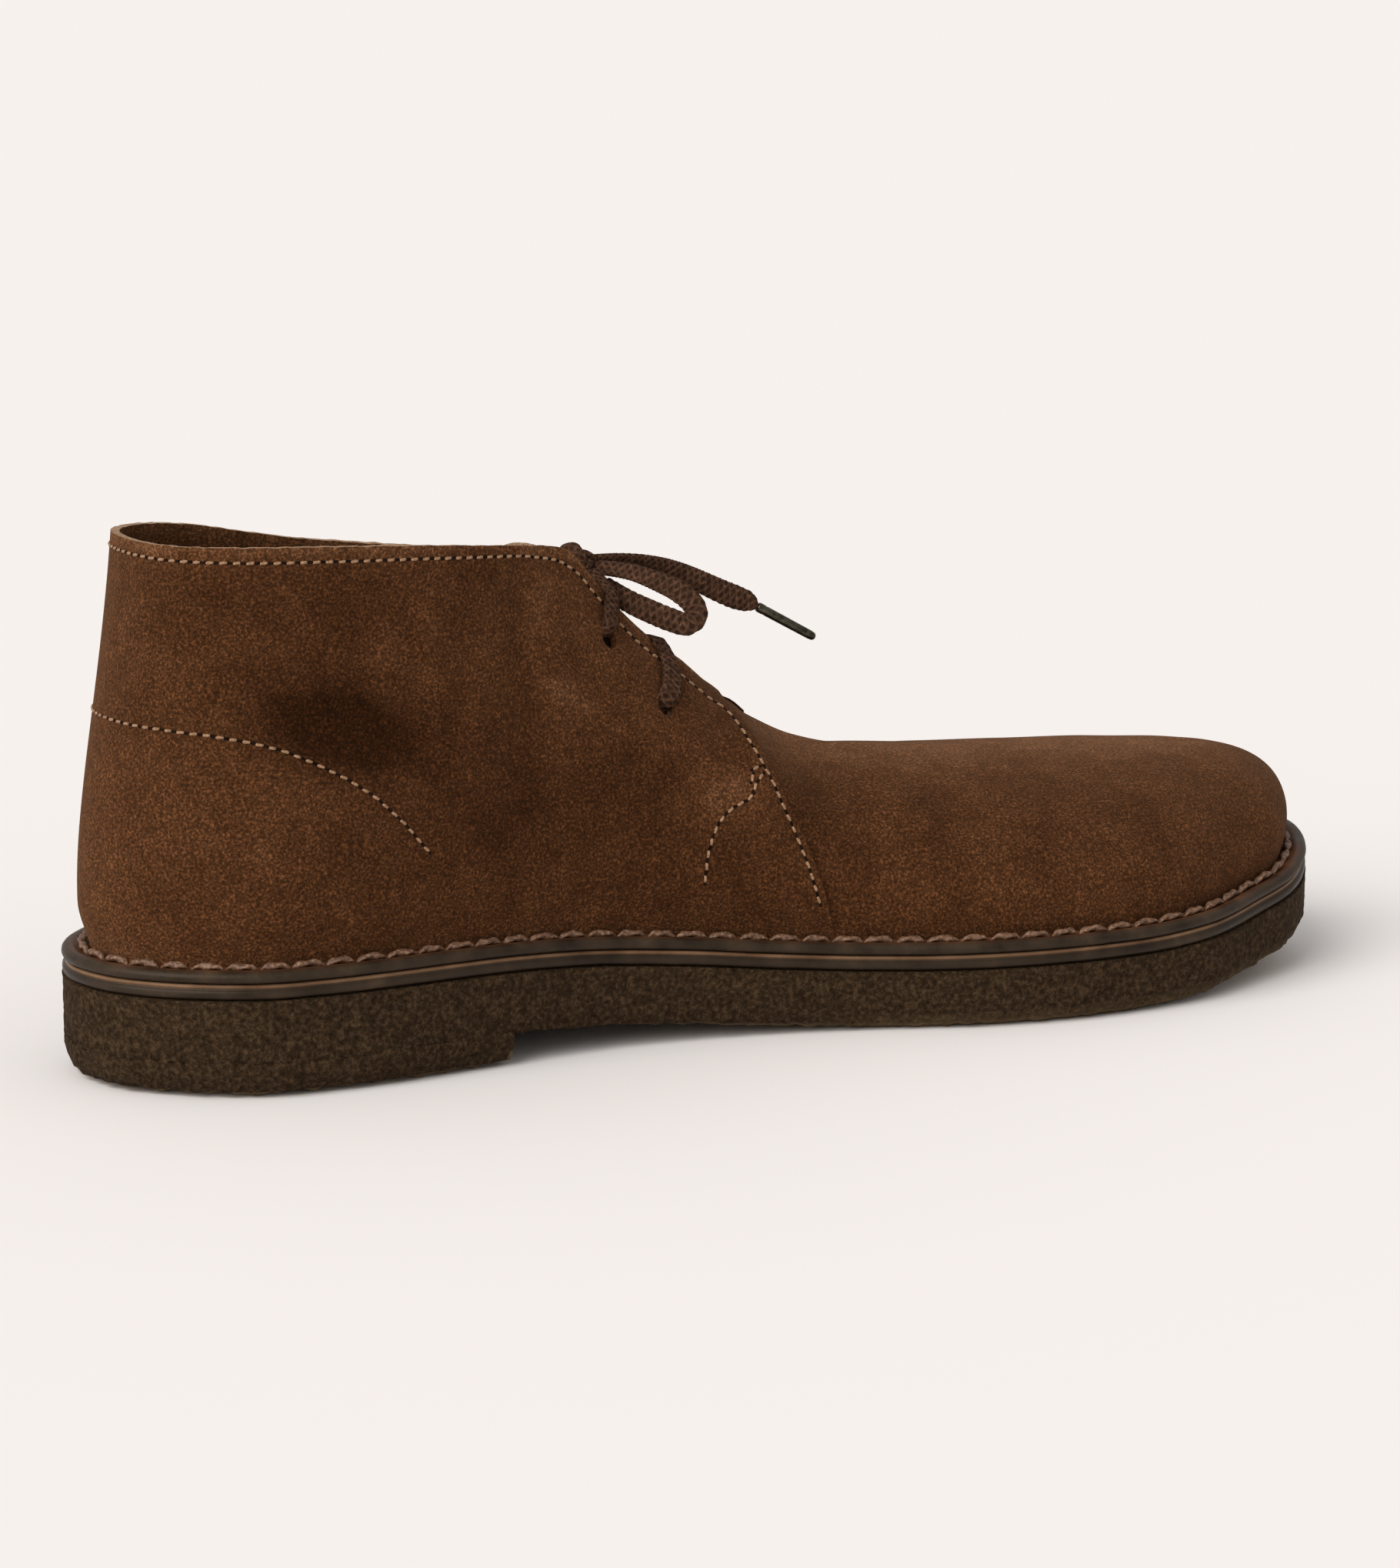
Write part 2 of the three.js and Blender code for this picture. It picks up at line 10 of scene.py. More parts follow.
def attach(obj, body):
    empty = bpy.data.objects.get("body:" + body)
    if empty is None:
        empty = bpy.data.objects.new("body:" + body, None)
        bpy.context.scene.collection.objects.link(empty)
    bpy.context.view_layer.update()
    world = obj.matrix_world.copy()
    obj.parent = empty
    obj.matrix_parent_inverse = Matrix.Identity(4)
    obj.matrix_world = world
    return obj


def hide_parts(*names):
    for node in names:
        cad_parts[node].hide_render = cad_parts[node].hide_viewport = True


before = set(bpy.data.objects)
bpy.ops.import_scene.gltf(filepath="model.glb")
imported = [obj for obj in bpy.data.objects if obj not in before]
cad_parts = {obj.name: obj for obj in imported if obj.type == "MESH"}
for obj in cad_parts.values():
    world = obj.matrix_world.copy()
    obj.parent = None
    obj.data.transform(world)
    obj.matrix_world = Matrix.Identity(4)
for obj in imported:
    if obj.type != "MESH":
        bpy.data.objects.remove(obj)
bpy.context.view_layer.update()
bpy.ops.object.select_all(action="DESELECT")

# Camera
# It stands to the boot's inner side, behind it and a little above, where the photograph's stood,
# and a long lens frames the one boot.
camera_place = Vector((-0.4737, -0.8956, 0.2519))
camera_aim = Vector((-0.003, 0.0, 0.05))
bpy.ops.object.camera_add(location=camera_place)
camera = bpy.context.object
camera.rotation_euler = (camera_aim - camera_place).to_track_quat("-Z", "Y").to_euler()
camera.data.lens = 120
camera.data.sensor_fit = "HORIZONTAL"
camera.data.sensor_width = 36
bpy.context.scene.camera = camera

# Lace, its bow
# One flat braided cotton lace, tied in a bow: two loops and two ends leave the knot. Each row is a
# point in the boot's millimetres, the lace's width there and how far its flat side turns, in degrees.
origin_in_boot = np.array((150.0, -2.888, 0.0))
lace_thickness = 1.8
lace_step = 0.42
braid_pitch = 1.6
braid_relief = 0.07
braid_starts = 5
toward_camera = np.array((-0.46, -0.866, 0.194))


def to_frame(points):
    return (np.asarray(points, float) - origin_in_boot) / 1000


def new_piece(name, points, faces):
    mesh = bpy.data.meshes.new(name)
    mesh.from_pydata([tuple(point) for point in to_frame(points)], [], faces)
    mesh.update()
    mesh.shade_smooth()
    piece = bpy.data.objects.new(name, mesh)
    bpy.context.collection.objects.link(piece)
    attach(piece, "root")
    return piece


def unit(vectors):
    return vectors / np.linalg.norm(vectors, axis=-1, keepdims=True)


def square_to(vectors, along):
    return unit(vectors - (vectors * along).sum(1, keepdims=True) * along)


def run_along(line):
    """Distance of each point from the line's start"""
    return np.concatenate([[0], np.cumsum(np.linalg.norm(np.diff(line, axis=0), axis=1))])


def sample(line, run, where):
    return np.stack([np.interp(where, run, line[:, k]) for k in range(3)], 1)


def band_faces(rings, count, closed=False, start=0):
    faces = []
    for i in range(rings if closed else rings - 1):
        low, high = start + i * count, start + (i + 1) % rings * count
        for j in range(count):
            k = (j + 1) % count
            faces.append((low + j, low + k, high + k, high + j))
    return faces


def paint(piece, name, values):
    layer = piece.data.attributes.new(name, "FLOAT", "POINT")
    layer.data.foreach_set("value", np.asarray(values, np.float32))


def spline_span(before, start, end, after, share):
    """Point and slope of a centripetal curve between start and end"""
    first, middle, last = (
        np.sqrt(np.linalg.norm(b - a, axis=-1, keepdims=True))
        for a, b in ((before, start), (start, end), (end, after))
    )
    out = (start - before) / first - (end - before) / (first + middle) + (end - start) / middle
    into = (end - start) / middle - (after - start) / (middle + last) + (after - end) / last
    out, into = out * middle, into * middle
    bend = 3 * (end - start) - 2 * out - into
    twist = 2 * (start - end) + out + into
    point = start + share * (out + share * (bend + share * twist))
    return point, out + share * (2 * bend + 3 * share * twist)


def smooth_line(points, step):
    """Even points on a curve through the given ones, and where each given one lies along it"""
    points = np.array(points, float)
    padded = np.vstack([2 * points[0] - points[1], points, 2 * points[-1] - points[-2]])
    fine = 24
    share = np.linspace(0, 1, fine, endpoint=False)[:, None]
    spans = [spline_span(*padded[i : i + 4], share)[0] for i in range(len(points) - 1)]
    line = np.vstack(spans + [points[-1:]])
    run = run_along(line)
    even = np.linspace(0, run[-1], max(3, round(run[-1] / step)))
    return sample(line, run, even), even, run[::fine]


def lace(name, points, flats, widths, thickness=lace_thickness):
    """A closed oval braid along points; flats are the directions that its flat side faces"""
    line, run, stops = smooth_line(points, lace_step)
    along = unit(np.gradient(line, axis=0))
    flat = square_to(sample(np.asarray(flats, float), stops, run), along)
    across = np.cross(along, flat)
    width = np.interp(run, stops, widths)
    around = 20
    turn = 2 * np.pi * np.arange(around) / around
    fade = np.clip(np.minimum(run, run[-1] - run) / 1.2, 0.35, 1) ** 0.5
    wave = 2 * np.pi * run[:, None] / braid_pitch
    relief = np.maximum(np.cos(wave + braid_starts * turn), np.cos(wave - braid_starts * turn))
    size = fade[:, None] * (1 + braid_relief * (relief - 0.6))
    wide = np.sign(np.cos(turn)) * np.abs(np.cos(turn)) ** 0.85
    high = np.sign(np.sin(turn)) * np.abs(np.sin(turn)) ** 0.85
    rings = (
        line[:, None]
        + across[:, None] * (size * wide * width[:, None] / 2)[..., None]
        + flat[:, None] * (size * high * thickness / 2)[..., None]
    )
    count = len(line)
    faces = band_faces(count, around)
    points = np.vstack([rings.reshape(-1, 3), line[:1], line[-1:]])
    first, last = count * around, count * around + 1
    for j in range(around):
        faces.append((first, (j + 1) % around, j))
        faces.append((last, (count - 1) * around + j, (count - 1) * around + (j + 1) % around))
    piece = new_piece(name, points, faces)
    turn_outward(piece)
    paint(piece, "run", np.concatenate([np.repeat(run, around), run[:1], run[-1:]]))
    paint(piece, "side", np.concatenate([np.tile(np.arange(around) / around, count), [0, 0]]))
    piece.data.materials.append(lace_cloth)
    return piece, line, run


def turn_outward(piece, merge=0):
    shape = bmesh.new()
    shape.from_mesh(piece.data)
    if merge:
        bmesh.ops.remove_doubles(shape, verts=shape.verts, dist=merge)
    bmesh.ops.recalc_face_normals(shape, faces=shape.faces)
    shape.to_mesh(piece.data)
    shape.free()


def facing(points, turns):
    """Directions of the lace's flat side, turned by degrees away from the camera's side"""
    line = np.asarray(points, float)
    along = unit(np.gradient(line, axis=0))
    front = unit(toward_camera - (along @ toward_camera)[:, None] * along)
    turn = np.radians(turns)[:, None]
    return np.cos(turn) * front + np.sin(turn) * np.cross(along, front)


def material(name, roughness):
    """A new material, its shader and a function that adds and links a node"""
    made = bpy.data.materials.new(name)
    made.use_nodes = True
    tree = made.node_tree
    shader = tree.nodes["Principled BSDF"]
    shader.inputs["Roughness"].default_value = roughness

    def add(kind, values=None, settings=None):
        node = tree.nodes.new(kind)
        for key, value in (settings or {}).items():
            setattr(node, key, value)
        for key, value in (values or {}).items():
            if isinstance(value, bpy.types.NodeSocket):
                tree.links.new(value, node.inputs[key])
            else:
                node.inputs[key].default_value = value
        return node

    def link(value, target):
        tree.links.new(value, shader.inputs[target])

    return made, shader, add, link


def painted(add, name):
    return add("ShaderNodeAttribute", settings={"attribute_name": name}).outputs["Fac"]


def ramp(add, factor, *stops):
    node = add("ShaderNodeValToRGB", {"Fac": factor})
    elements = node.color_ramp.elements
    while len(elements) < len(stops):
        elements.new(0.5)
    for element, (place, colour) in zip(elements, stops):
        element.position = place
        element.color = (*colour, 1) if isinstance(colour, tuple) else (colour, colour, colour, 1)
    return node.outputs["Color"]


def grain(add, scale, detail=2, rough=0.5, vector=None):
    values = {"Scale": scale, "Detail": detail, "Roughness": rough}
    place = vector or add("ShaderNodeTexCoord").outputs["Object"]
    return add("ShaderNodeTexNoise", {"Vector": place, **values}).outputs["Fac"]


def mixed(add, factor, first, second, kind="MIX"):
    node = add("ShaderNodeMix", settings={"data_type": "RGBA", "blend_type": kind})
    for value, socket in ((factor, node.inputs[0]), (first, node.inputs[6]), (second, node.inputs[7])):
        if isinstance(value, bpy.types.NodeSocket):
            node.id_data.links.new(value, socket)
        elif isinstance(value, tuple):
            socket.default_value = (*value, 1)
        else:
            socket.default_value = value
    return node.outputs[2]


def bump(add, height, distance, strength=1.0, normal=None):
    values = {"Height": height, "Distance": distance, "Strength": strength}
    if normal:
        values["Normal"] = normal
    return add("ShaderNodeBump", values).outputs["Normal"]


def calc(add, kind, first, second=0.0):
    node = add("ShaderNodeMath", settings={"operation": kind})
    for value, socket in ((first, node.inputs[0]), (second, node.inputs[1])):
        if isinstance(value, bpy.types.NodeSocket):
            node.id_data.links.new(value, socket)
        else:
            socket.default_value = value
    return node.outputs[0]


lace_cloth, shader, add, link = material("lace_cloth", 0.88)
run_fac, side_fac = painted(add, "run"), painted(add, "side")
wave = calc(add, "MULTIPLY", run_fac, 2 * math.pi / braid_pitch)
plies = []
for kind in ("ADD", "SUBTRACT"):
    slant = calc(add, "MULTIPLY", side_fac, 2 * braid_starts * math.pi)
    plies.append(calc(add, "COSINE", calc(add, kind, wave, slant)))
strand = calc(add, "MAXIMUM", *plies)
# Painted shade: the lace is painted darker where the braid's plies dip, in the grooves between them
colour = ramp(
    add,
    strand,
    (0.0, (0.042, 0.0195, 0.0105)),
    (0.5, (0.075, 0.036, 0.02)),
    (1.0, (0.094, 0.046, 0.026)),
)
cotton = grain(add, 900, 3)
fuzz = ramp(add, cotton, (0.3, 0.25), (0.52, 0.8), (0.75, 2.0))
link(mixed(add, 0.7, colour, fuzz, "MULTIPLY"), "Base Color")
link(bump(add, cotton, 0.0003, 0.5, bump(add, strand, 0.0002, 0.5)), "Normal")
shader.inputs["Specular IOR Level"].default_value = 0.08

bow = {
    "loop_near": [
        (118.6, -7.0, 101.0, 3.4, -30),
        (121.8, -10.0, 100.8, 3.8, -34),
        (125.6, -13.6, 100.1, 4.2, -32),
        (129.4, -17.2, 98.4, 4.6, -24),
        (133.0, -19.8, 96.4, 5.0, -12),
        (135.7, -21.4, 93.5, 5.0, -4),
        (136.1, -21.8, 91.0, 5.0, 0),
        (134.4, -21.0, 89.4, 5.0, -4),
        (131.6, -18.5, 90.2, 5.2, -10),
        (128.1, -15.5, 91.9, 5.2, -14),
        (124.8, -12.0, 93.8, 5.0, -14),
        (122.3, -9.0, 95.8, 4.6, -10),
        (120.6, -6.6, 97.4, 4.0, 0),
    ],
    "loop_far": [
        (119.4, 2.0, 100.8, 3.4, 30),
        (122.0, 6.5, 99.4, 4.0, 20),
        (124.4, 12.5, 95.6, 4.6, 0),
        (126.6, 18.5, 89.0, 5.0, 0),
        (128.4, 24.0, 81.6, 5.0, 0),
        (128.4, 28.4, 75.6, 5.0, 0),
        (126.2, 30.4, 72.6, 5.0, 0),
        (123.6, 29.8, 74.0, 5.0, 0),
        (122.2, 26.6, 79.4, 5.0, 0),
        (121.2, 21.8, 86.0, 5.0, 0),
        (120.4, 15.8, 93.0, 5.0, 0),
        (119.6, 9.6, 96.8, 4.4, 0),
        (118.6, 4.4, 98.4, 3.6, 0),
    ],
    "end_near": [
        (119.0, -4.2, 102.3, 2.8, 65),
        (126.4, -4.0, 101.9, 3.4, 60),
        (132.8, -3.6, 100.8, 3.9, 48),
        (139.1, -3.4, 98.9, 4.4, 35),
        (144.7, -3.6, 96.4, 4.8, 20),
        (150.0, -4.0, 93.7, 5.2, 8),
        (154.8, -4.4, 91.5, 5.4, 0),
        (157.8, -4.6, 90.3, 4.8, 0),
        (160.3, -5.2, 88.9, 2.0, 0),
    ],
    "end_far": [
        (120.2, -1.4, 99.4, 3.6, 40),
        (124.0, 4.0, 96.6, 4.4, 20),
        (129.0, 11.0, 92.0, 5.0, 0),
        (133.0, 17.0, 86.2, 5.2, 0),
        (136.0, 23.0, 79.2, 5.0, 0),
        (138.4, 28.4, 71.0, 2.0, 0),
    ],
}

# Aglets
# Each lace end is gripped by a short tip of dark metal, rolled round it and pinched at its mouth.
# A ring is its distance from the mouth and its radius.
aglet_rings = [
    (0.0, 0.95), (0.4, 1.12), (1.6, 1.1), (2.0, 1.02), (2.4, 1.08), (13.6, 1.02), (14.6, 0.9), (15.0, 0.55),
]
aglet_end = aglet_rings[-1][0] + 0.15

aglet_metal, shader, add, link = material("aglet_metal", 0.24)
shader.inputs["Metallic"].default_value = 0.85
rubbed = grain(add, 700, 3)
link(ramp(add, rubbed, (0.35, (0.025, 0.022, 0.015)), (0.7, (0.1, 0.09, 0.06))), "Base Color")
link(bump(add, grain(add, 2500, 2), 0.00005, 0.4), "Normal")


def aglet(name, start, direction):
    around = 20
    direction = unit(np.asarray(direction, float))
    across = unit(np.cross(direction, (0, 0, 1)))
    upward = np.cross(across, direction)
    turn = 2 * np.pi * np.arange(around) / around
    rings = [
        start + direction * at + radius * (np.cos(turn)[:, None] * across + np.sin(turn)[:, None] * upward)
        for at, radius in aglet_rings
    ]
    points = np.vstack(rings + [[start], [start + direction * aglet_end]])
    faces = band_faces(len(rings), around)
    low, high, last = len(points) - 2, len(points) - 1, (len(rings) - 1) * around
    for j in range(around):
        k = (j + 1) % around
        faces.append((low, k, j))
        faces.append((high, last + j, last + k))
    piece = new_piece(name, points, faces)
    turn_outward(piece)
    piece.data.materials.append(aglet_metal)
    return piece


for node, rows in bow.items():
    rows = np.array(rows, float)
    points = rows[:, :3]
    piece, line, run = lace("lace_" + node, points, facing(points, rows[:, 4]), rows[:, 3])
    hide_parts(node)
    if node.startswith("loop"):
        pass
    else:
        heading = line[-1] - line[-4]
        tip = aglet("aglet_tip" + node[3:], line[-1] - 0.3 * unit(heading), heading)
        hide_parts("aglet" + node[3:])

# Sole outline
# Welt, midsole, crepe and heel are all cut to the one outline of the foot. Its table and the heights
# under it are those of the CAD model; a side is 1 on the boot's outer side and -1 on its inner one.
foot_length = 300.0
ball_width = 108.4
heel_rise = 7.7
toe_spring = 10.0


def table(names, rows):
    return {name: np.array([row[i] for row in rows], float) for i, name in enumerate(names.split())}


def read(rows, column, at):
    """Smooth value of one column, which never swings past the rows on either side"""
    spots, values = rows["at"], rows[column]
    slope = np.diff(values) / np.diff(spots)
    turns = slope[:-1] * slope[1:] <= 0
    inner = np.where(turns, 0, 2 * slope[:-1] * slope[1:] / np.where(turns, 1, slope[:-1] + slope[1:]))
    first = 0 if column == "reach" else slope[0]
    tangent = np.concatenate([[first], inner, slope[-1:]])
    at = np.clip(at, spots[0], spots[-1])
    row = np.clip(np.searchsorted(spots, at, "right") - 1, 0, len(spots) - 2)
    step = spots[row + 1] - spots[row]
    t = (at - spots[row]) / step
    start = (1 + 2 * t) * (1 - t) ** 2 * values[row] + t * (1 - t) ** 2 * step * tangent[row]
    return start + t * t * (3 - 2 * t) * values[row + 1] + t * t * (t - 1) * step * tangent[row + 1]


outline_rows = table(
    "at lateral medial",
    [
        (0, 0, 0), (0.01, 0.115, 0.115), (0.03, 0.193, 0.193), (0.06, 0.26, 0.265), (0.1, 0.323, 0.323),
        (0.14, 0.34, 0.34), (0.19, 0.357, 0.342), (0.25, 0.38, 0.327), (0.35, 0.396, 0.297),
        (0.42, 0.421, 0.309), (0.49, 0.44, 0.347), (0.56, 0.461, 0.404), (0.63, 0.473, 0.48),
        (0.69, 0.47, 0.518), (0.76, 0.442, 0.527), (0.83, 0.388, 0.504), (0.89, 0.311, 0.435),
        (0.935, 0.236, 0.376), (0.968, 0.148, 0.284), (0.988, 0.073, 0.19), (0.997, 0.014, 0.118),
        (1, -0.047, 0.047),
    ],
)
rise_rows = table(
    "at heel toe",
    [
        (0, 1, 0), (0.18, 1, 0), (0.26, 0.96, 0), (0.34, 0.8, 0), (0.42, 0.52, 0), (0.5, 0.2, 0),
        (0.56, 0.04, 0), (0.6, 0, 0), (0.76, 0, 0), (0.83, 0, 0.1), (0.9, 0, 0.36), (0.95, 0, 0.65),
        (1, 0, 1),
    ],
)
outer_edge = np.stack([outline_rows["at"] * foot_length, outline_rows["lateral"] * ball_width], 1)
inner_edge = np.stack([outline_rows["at"] * foot_length, -outline_rows["medial"] * ball_width], 1)[1:-1]
outline_points = np.vstack([outer_edge, inner_edge[::-1]])


def outline(side, at):
    """Point and outward normal of the sole's outline"""
    side, at = np.broadcast_arrays(np.asarray(side, float), np.asarray(at, float))
    spots, count = outline_rows["at"], len(outline_points)
    row = np.clip(np.searchsorted(spots, at, "right") - 1, 0, len(spots) - 2)
    place = row + (at - spots[row]) / (spots[row + 1] - spots[row])
    place = np.where(side > 0, place, (count - place) % count)
    start = np.floor(place).astype(int)
    near = [outline_points[(start + k) % count] for k in (-1, 0, 1, 2)]
    point, slope = spline_span(*near, (place - start)[..., None])
    slope = unit(slope)
    level = np.zeros(point.shape[:-1])
    normal = np.stack([-slope[..., 1], slope[..., 0], level], -1)
    return np.stack([point[..., 0], point[..., 1], level], -1), normal


def over_heel(x):
    return read(rise_rows, "heel", x / foot_length)


def rise(x):
    """Height of the crepe's underside"""
    return heel_rise * over_heel(x) + toe_spring * read(rise_rows, "toe", x / foot_length)


crepe_top = 13.2
welt_low, welt_top = 17.0, 19.5

# Even steps along the outline, from the heel's back to the toe
fine_at = np.linspace(0, 1, 6001)
mean_run = (run_along(outline(1, fine_at)[0]) + run_along(outline(-1, fine_at)[0])) / 2


def even_places(step, low=0.0, high=1.0):
    ends = np.interp((low, high), fine_at, mean_run)
    return np.interp(np.linspace(*ends, max(2, round((ends[1] - ends[0]) / step) + 1)), mean_run, fine_at)


def loop_of(places):
    """Sides and places once round the outline"""
    sides = np.concatenate([np.ones(len(places)), -np.ones(len(places) - 2)])
    return sides, np.concatenate([places, places[-2:0:-1]])


def band(places, profile):
    """Rings round the outline, one for each (inset, height over the underside) of a profile"""
    sides, at = loop_of(places)
    point, normal = outline(sides, at)
    rings = []
    for inset, height in profile:
        ring = point - normal * np.reshape(inset, (-1, 1))
        ring[:, 2] = rise(ring[:, 0]) + height
        rings.append(ring)
    return np.array(rings)


def lid_faces(half, count, level, columns=0, start=0):
    """Faces across the outline from a ring's outer to its inner side, over columns of inner points"""

    def spot(i, j):
        if i in (0, half - 1) or j == 0:
            return level + i
        if j == columns + 1:
            return level + count - i
        return start + (i - 1) * columns + j - 1

    faces = []
    for i in range(half - 1):
        for j in range(columns + 1):
            corner = [spot(i, j), spot(i, j + 1), spot(i + 1, j + 1), spot(i + 1, j)]
            corner = list(dict.fromkeys(corner))
            if len(corner) > 2:
                faces.append(corner)
    return faces


def crumb(points, size, seed):
    """Uneven height, about -1 to 1, of a grain with that size in millimetres"""
    shift = Vector((seed * 7.3, seed * 3.1, seed * 5.7))
    return np.array([noise.noise(Vector(point) / size + shift) for point in points])


# Crepe sole
# The through sole is a slab of plantation crepe, cut by hand and ground round its edge. The edge is
# stained dark brown, and the underside keeps the honey colour and coarse crumb of the raw crepe.
crepe_step = 1.15
bevel = 4.2
crumb_depth = 0.55
edge_crumb = 0.28
bevel_grain = 2.6
edge_grain = 1.7
under_grain = 2.4
sole_columns = 84
downward = np.array((0.0, 0.0, -1.0))

crepe, shader, add, link = material("crepe", 0.82)
stained = painted(add, "stain")
fine, coarse = grain(add, 900, 4, 0.7), grain(add, 260, 4, 0.65)
dark = ramp(
    add,
    fine,
    (0.32, (0.012, 0.0065, 0.003)),
    (0.5, (0.033, 0.019, 0.0095)),
    (0.7, (0.085, 0.052, 0.028)),
)
honey = ramp(
    add,
    coarse,
    (0.28, (0.11, 0.066, 0.027)),
    (0.45, (0.25, 0.165, 0.078)),
    (0.6, (0.33, 0.23, 0.12)),
    (0.8, (0.47, 0.35, 0.2)),
)
honey = mixed(add, 0.5, honey, ramp(add, fine, (0.3, 0.45), (0.7, 1.0)), "MULTIPLY")
link(mixed(add, stained, honey, dark), "Base Color")
link(bump(add, fine, 0.0007, 0.8, bump(add, coarse, 0.0014, 0.6)), "Normal")
link(ramp(add, stained, (0.0, 0.55), (1.0, 0.85)), "Roughness")
shader.inputs["Specular IOR Level"].default_value = 0.1
shader.inputs["Specular Tint"].default_value = (1.0, 0.8, 0.6, 1)


def crumble(points, normals, size, depth, seed):
    """Pushes points inward by the crepe's crumb"""
    rough = crumb(points, size, seed) + 0.5 * crumb(points, size * 0.45, seed + 1)
    return points - normals * (depth * np.clip(0.6 + rough, 0, 1.6))[:, None]


sole_places = even_places(crepe_step)
sides, at = loop_of(sole_places)
outward = outline(sides, at)[1]
lower = bevel * (1 - read(rise_rows, "heel", at))
sole_profile = [(lower, 0.0), (0.35 * lower, 0.35 * lower), (0.0, bevel)]
sole_profile += [(0.0, height) for height in np.linspace(bevel, crepe_top, 9)[1:]]
sole_rings = band(sole_places, sole_profile)
points, stain = [], []
for number, ring in enumerate(sole_rings):
    stain.append(np.clip((0.25, 0.85, 1)[min(number, 2)] + over_heel(ring[:, 0]), 0, 1))
    if number < 3:
        ring = crumble(ring, unit(outward - (0, 0, 1.2 * (1 - number / 3))), bevel_grain, crumb_depth, 3)
    elif number < len(sole_rings) - 1:
        ring = crumble(ring, outward, edge_grain, edge_crumb, 3)
    points.append(ring)
half, count = len(sole_places), len(at)
share = np.linspace(0, 1, sole_columns + 2)[1:-1, None]
grid = sole_rings[0, 1 : half - 1, None] * (1 - share) + sole_rings[0, half:, None][::-1] * share
grid[..., 2] = rise(grid[..., 0])
points.append(crumble(grid.reshape(-1, 3), downward, under_grain, 2 * crumb_depth, 9))
stain.append(over_heel(points[-1][:, 0]))
faces = band_faces(len(sole_rings), count)
faces += lid_faces(half, count, 0, sole_columns, count * len(sole_rings))
faces += lid_faces(half, count, count * (len(sole_rings) - 1))
crepe_sole = new_piece("crepe_sole", np.vstack(points), faces)
turn_outward(crepe_sole)
paint(crepe_sole, "stain", np.concatenate(stain))
crepe_sole.data.materials.append(crepe)
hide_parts("outsole")

# Heel lift
# A second block of coarser crepe is bonded under the heel. Its front, the breast, is cut in a slight
# curve, and its edge is ground and stained with the sole's.
breast = 87.0
breast_curve = 3.0
breast_reach = 25.0
heel_height = 7.4
heel_grain = 3.1
heel_edge_grain = 2.2
heel_edge_crumb = (0.8, 0.35)
heel_places = even_places(crepe_step, 0, breast / foot_length)
rows, columns = len(heel_places), 58
share = np.linspace(0, 1, columns)
bow_out = breast_curve * (1 - (2 * share - 1) ** 2)
forward = np.clip((heel_places * foot_length - breast + breast_reach) / breast_reach, 0, 1)[:, None] ** 2
heel_edge = [(i, 0) for i in range(rows)] + [(rows - 1, j) for j in range(1, columns - 1)]
heel_edge += [(i, columns - 1) for i in range(rows - 1, 0, -1)]


def heel_layer(inset, level):
    sides = [outline(side, heel_places) for side in (1, -1)]
    outer, inner = (point - normal * inset for point, normal in sides)
    grid = outer[:, None] * (1 - share[:, None]) + inner[:, None] * share[:, None]
    grid[..., 0] += forward * bow_out
    grid[..., 2] = level * heel_height * over_heel(grid[..., 0])
    return grid


heel_profile = [(4.2, 0), (1.5, 0.2), (0, 0.57), (0, 0.8), (0, 1), (0.2, 1.13), (0.9, 1.16)]
layers = [heel_layer(inset, level) for inset, level in heel_profile]
centre = layers[0].mean((0, 1))
points, stain, faces, edges = [], [], [], []
for number, layer in enumerate(layers):
    lid = number in (0, len(layers) - 1)
    spots = [(i, j) for i in range(rows) for j in range(columns)] if lid else heel_edge
    flat = np.array([layer[spot] for spot in spots])
    if number == 0:
        flat = crumble(flat, downward, heel_grain, 2.2 * crumb_depth, 21)
    elif not lid:
        sideways = unit((flat - centre) * (1, 1, 0) + (0, 0, 1e-6))
        flat = crumble(flat, sideways, heel_edge_grain, heel_edge_crumb[number > 2], 22)
    start = sum(len(part) for part in points)
    index = {spot: start + i for i, spot in enumerate(spots)}
    points.append(flat)
    stain += [float(number > 1 or (number == 1 and spot[0] < rows - 1)) for spot in spots]
    edges.append([index[spot] for spot in heel_edge])
    if lid:
        for i in range(rows - 1):
            for j in range(columns - 1):
                faces.append([index[i, j], index[i, j + 1], index[i + 1, j + 1], index[i + 1, j]])
for low, high in zip(edges, edges[1:]):
    for i in range(len(low)):
        k = (i + 1) % len(low)
        faces.append([low[i], low[k], high[k], high[i]])
heel = new_piece("crepe_heel", np.vstack(points), faces)
paint(heel, "stain", stain)
turn_outward(heel, merge=1e-5)
heel.data.materials.append(crepe)
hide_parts("heel_lift")

# Midsole
# A thin leather midsole lies between crepe and welt. Its rounded edge is waxed nearly black, with a
# paler line of bare leather just under the welt.
midsole_profile = [
    (1.3, 13.5), (0.6, 13.7), (0.2, 14.15), (0.1, 14.7), (0.15, 15.2), (0.4, 15.6), (0.9, 15.85),
    (0.75, 16.0), (0.7, 16.3), (0.8, 16.6), (1.1, 16.7),
]
midsole_stain = [1, 1, 1, 1, 1, 1, 0.8, 0.1, 0, 0.1, 0.3]


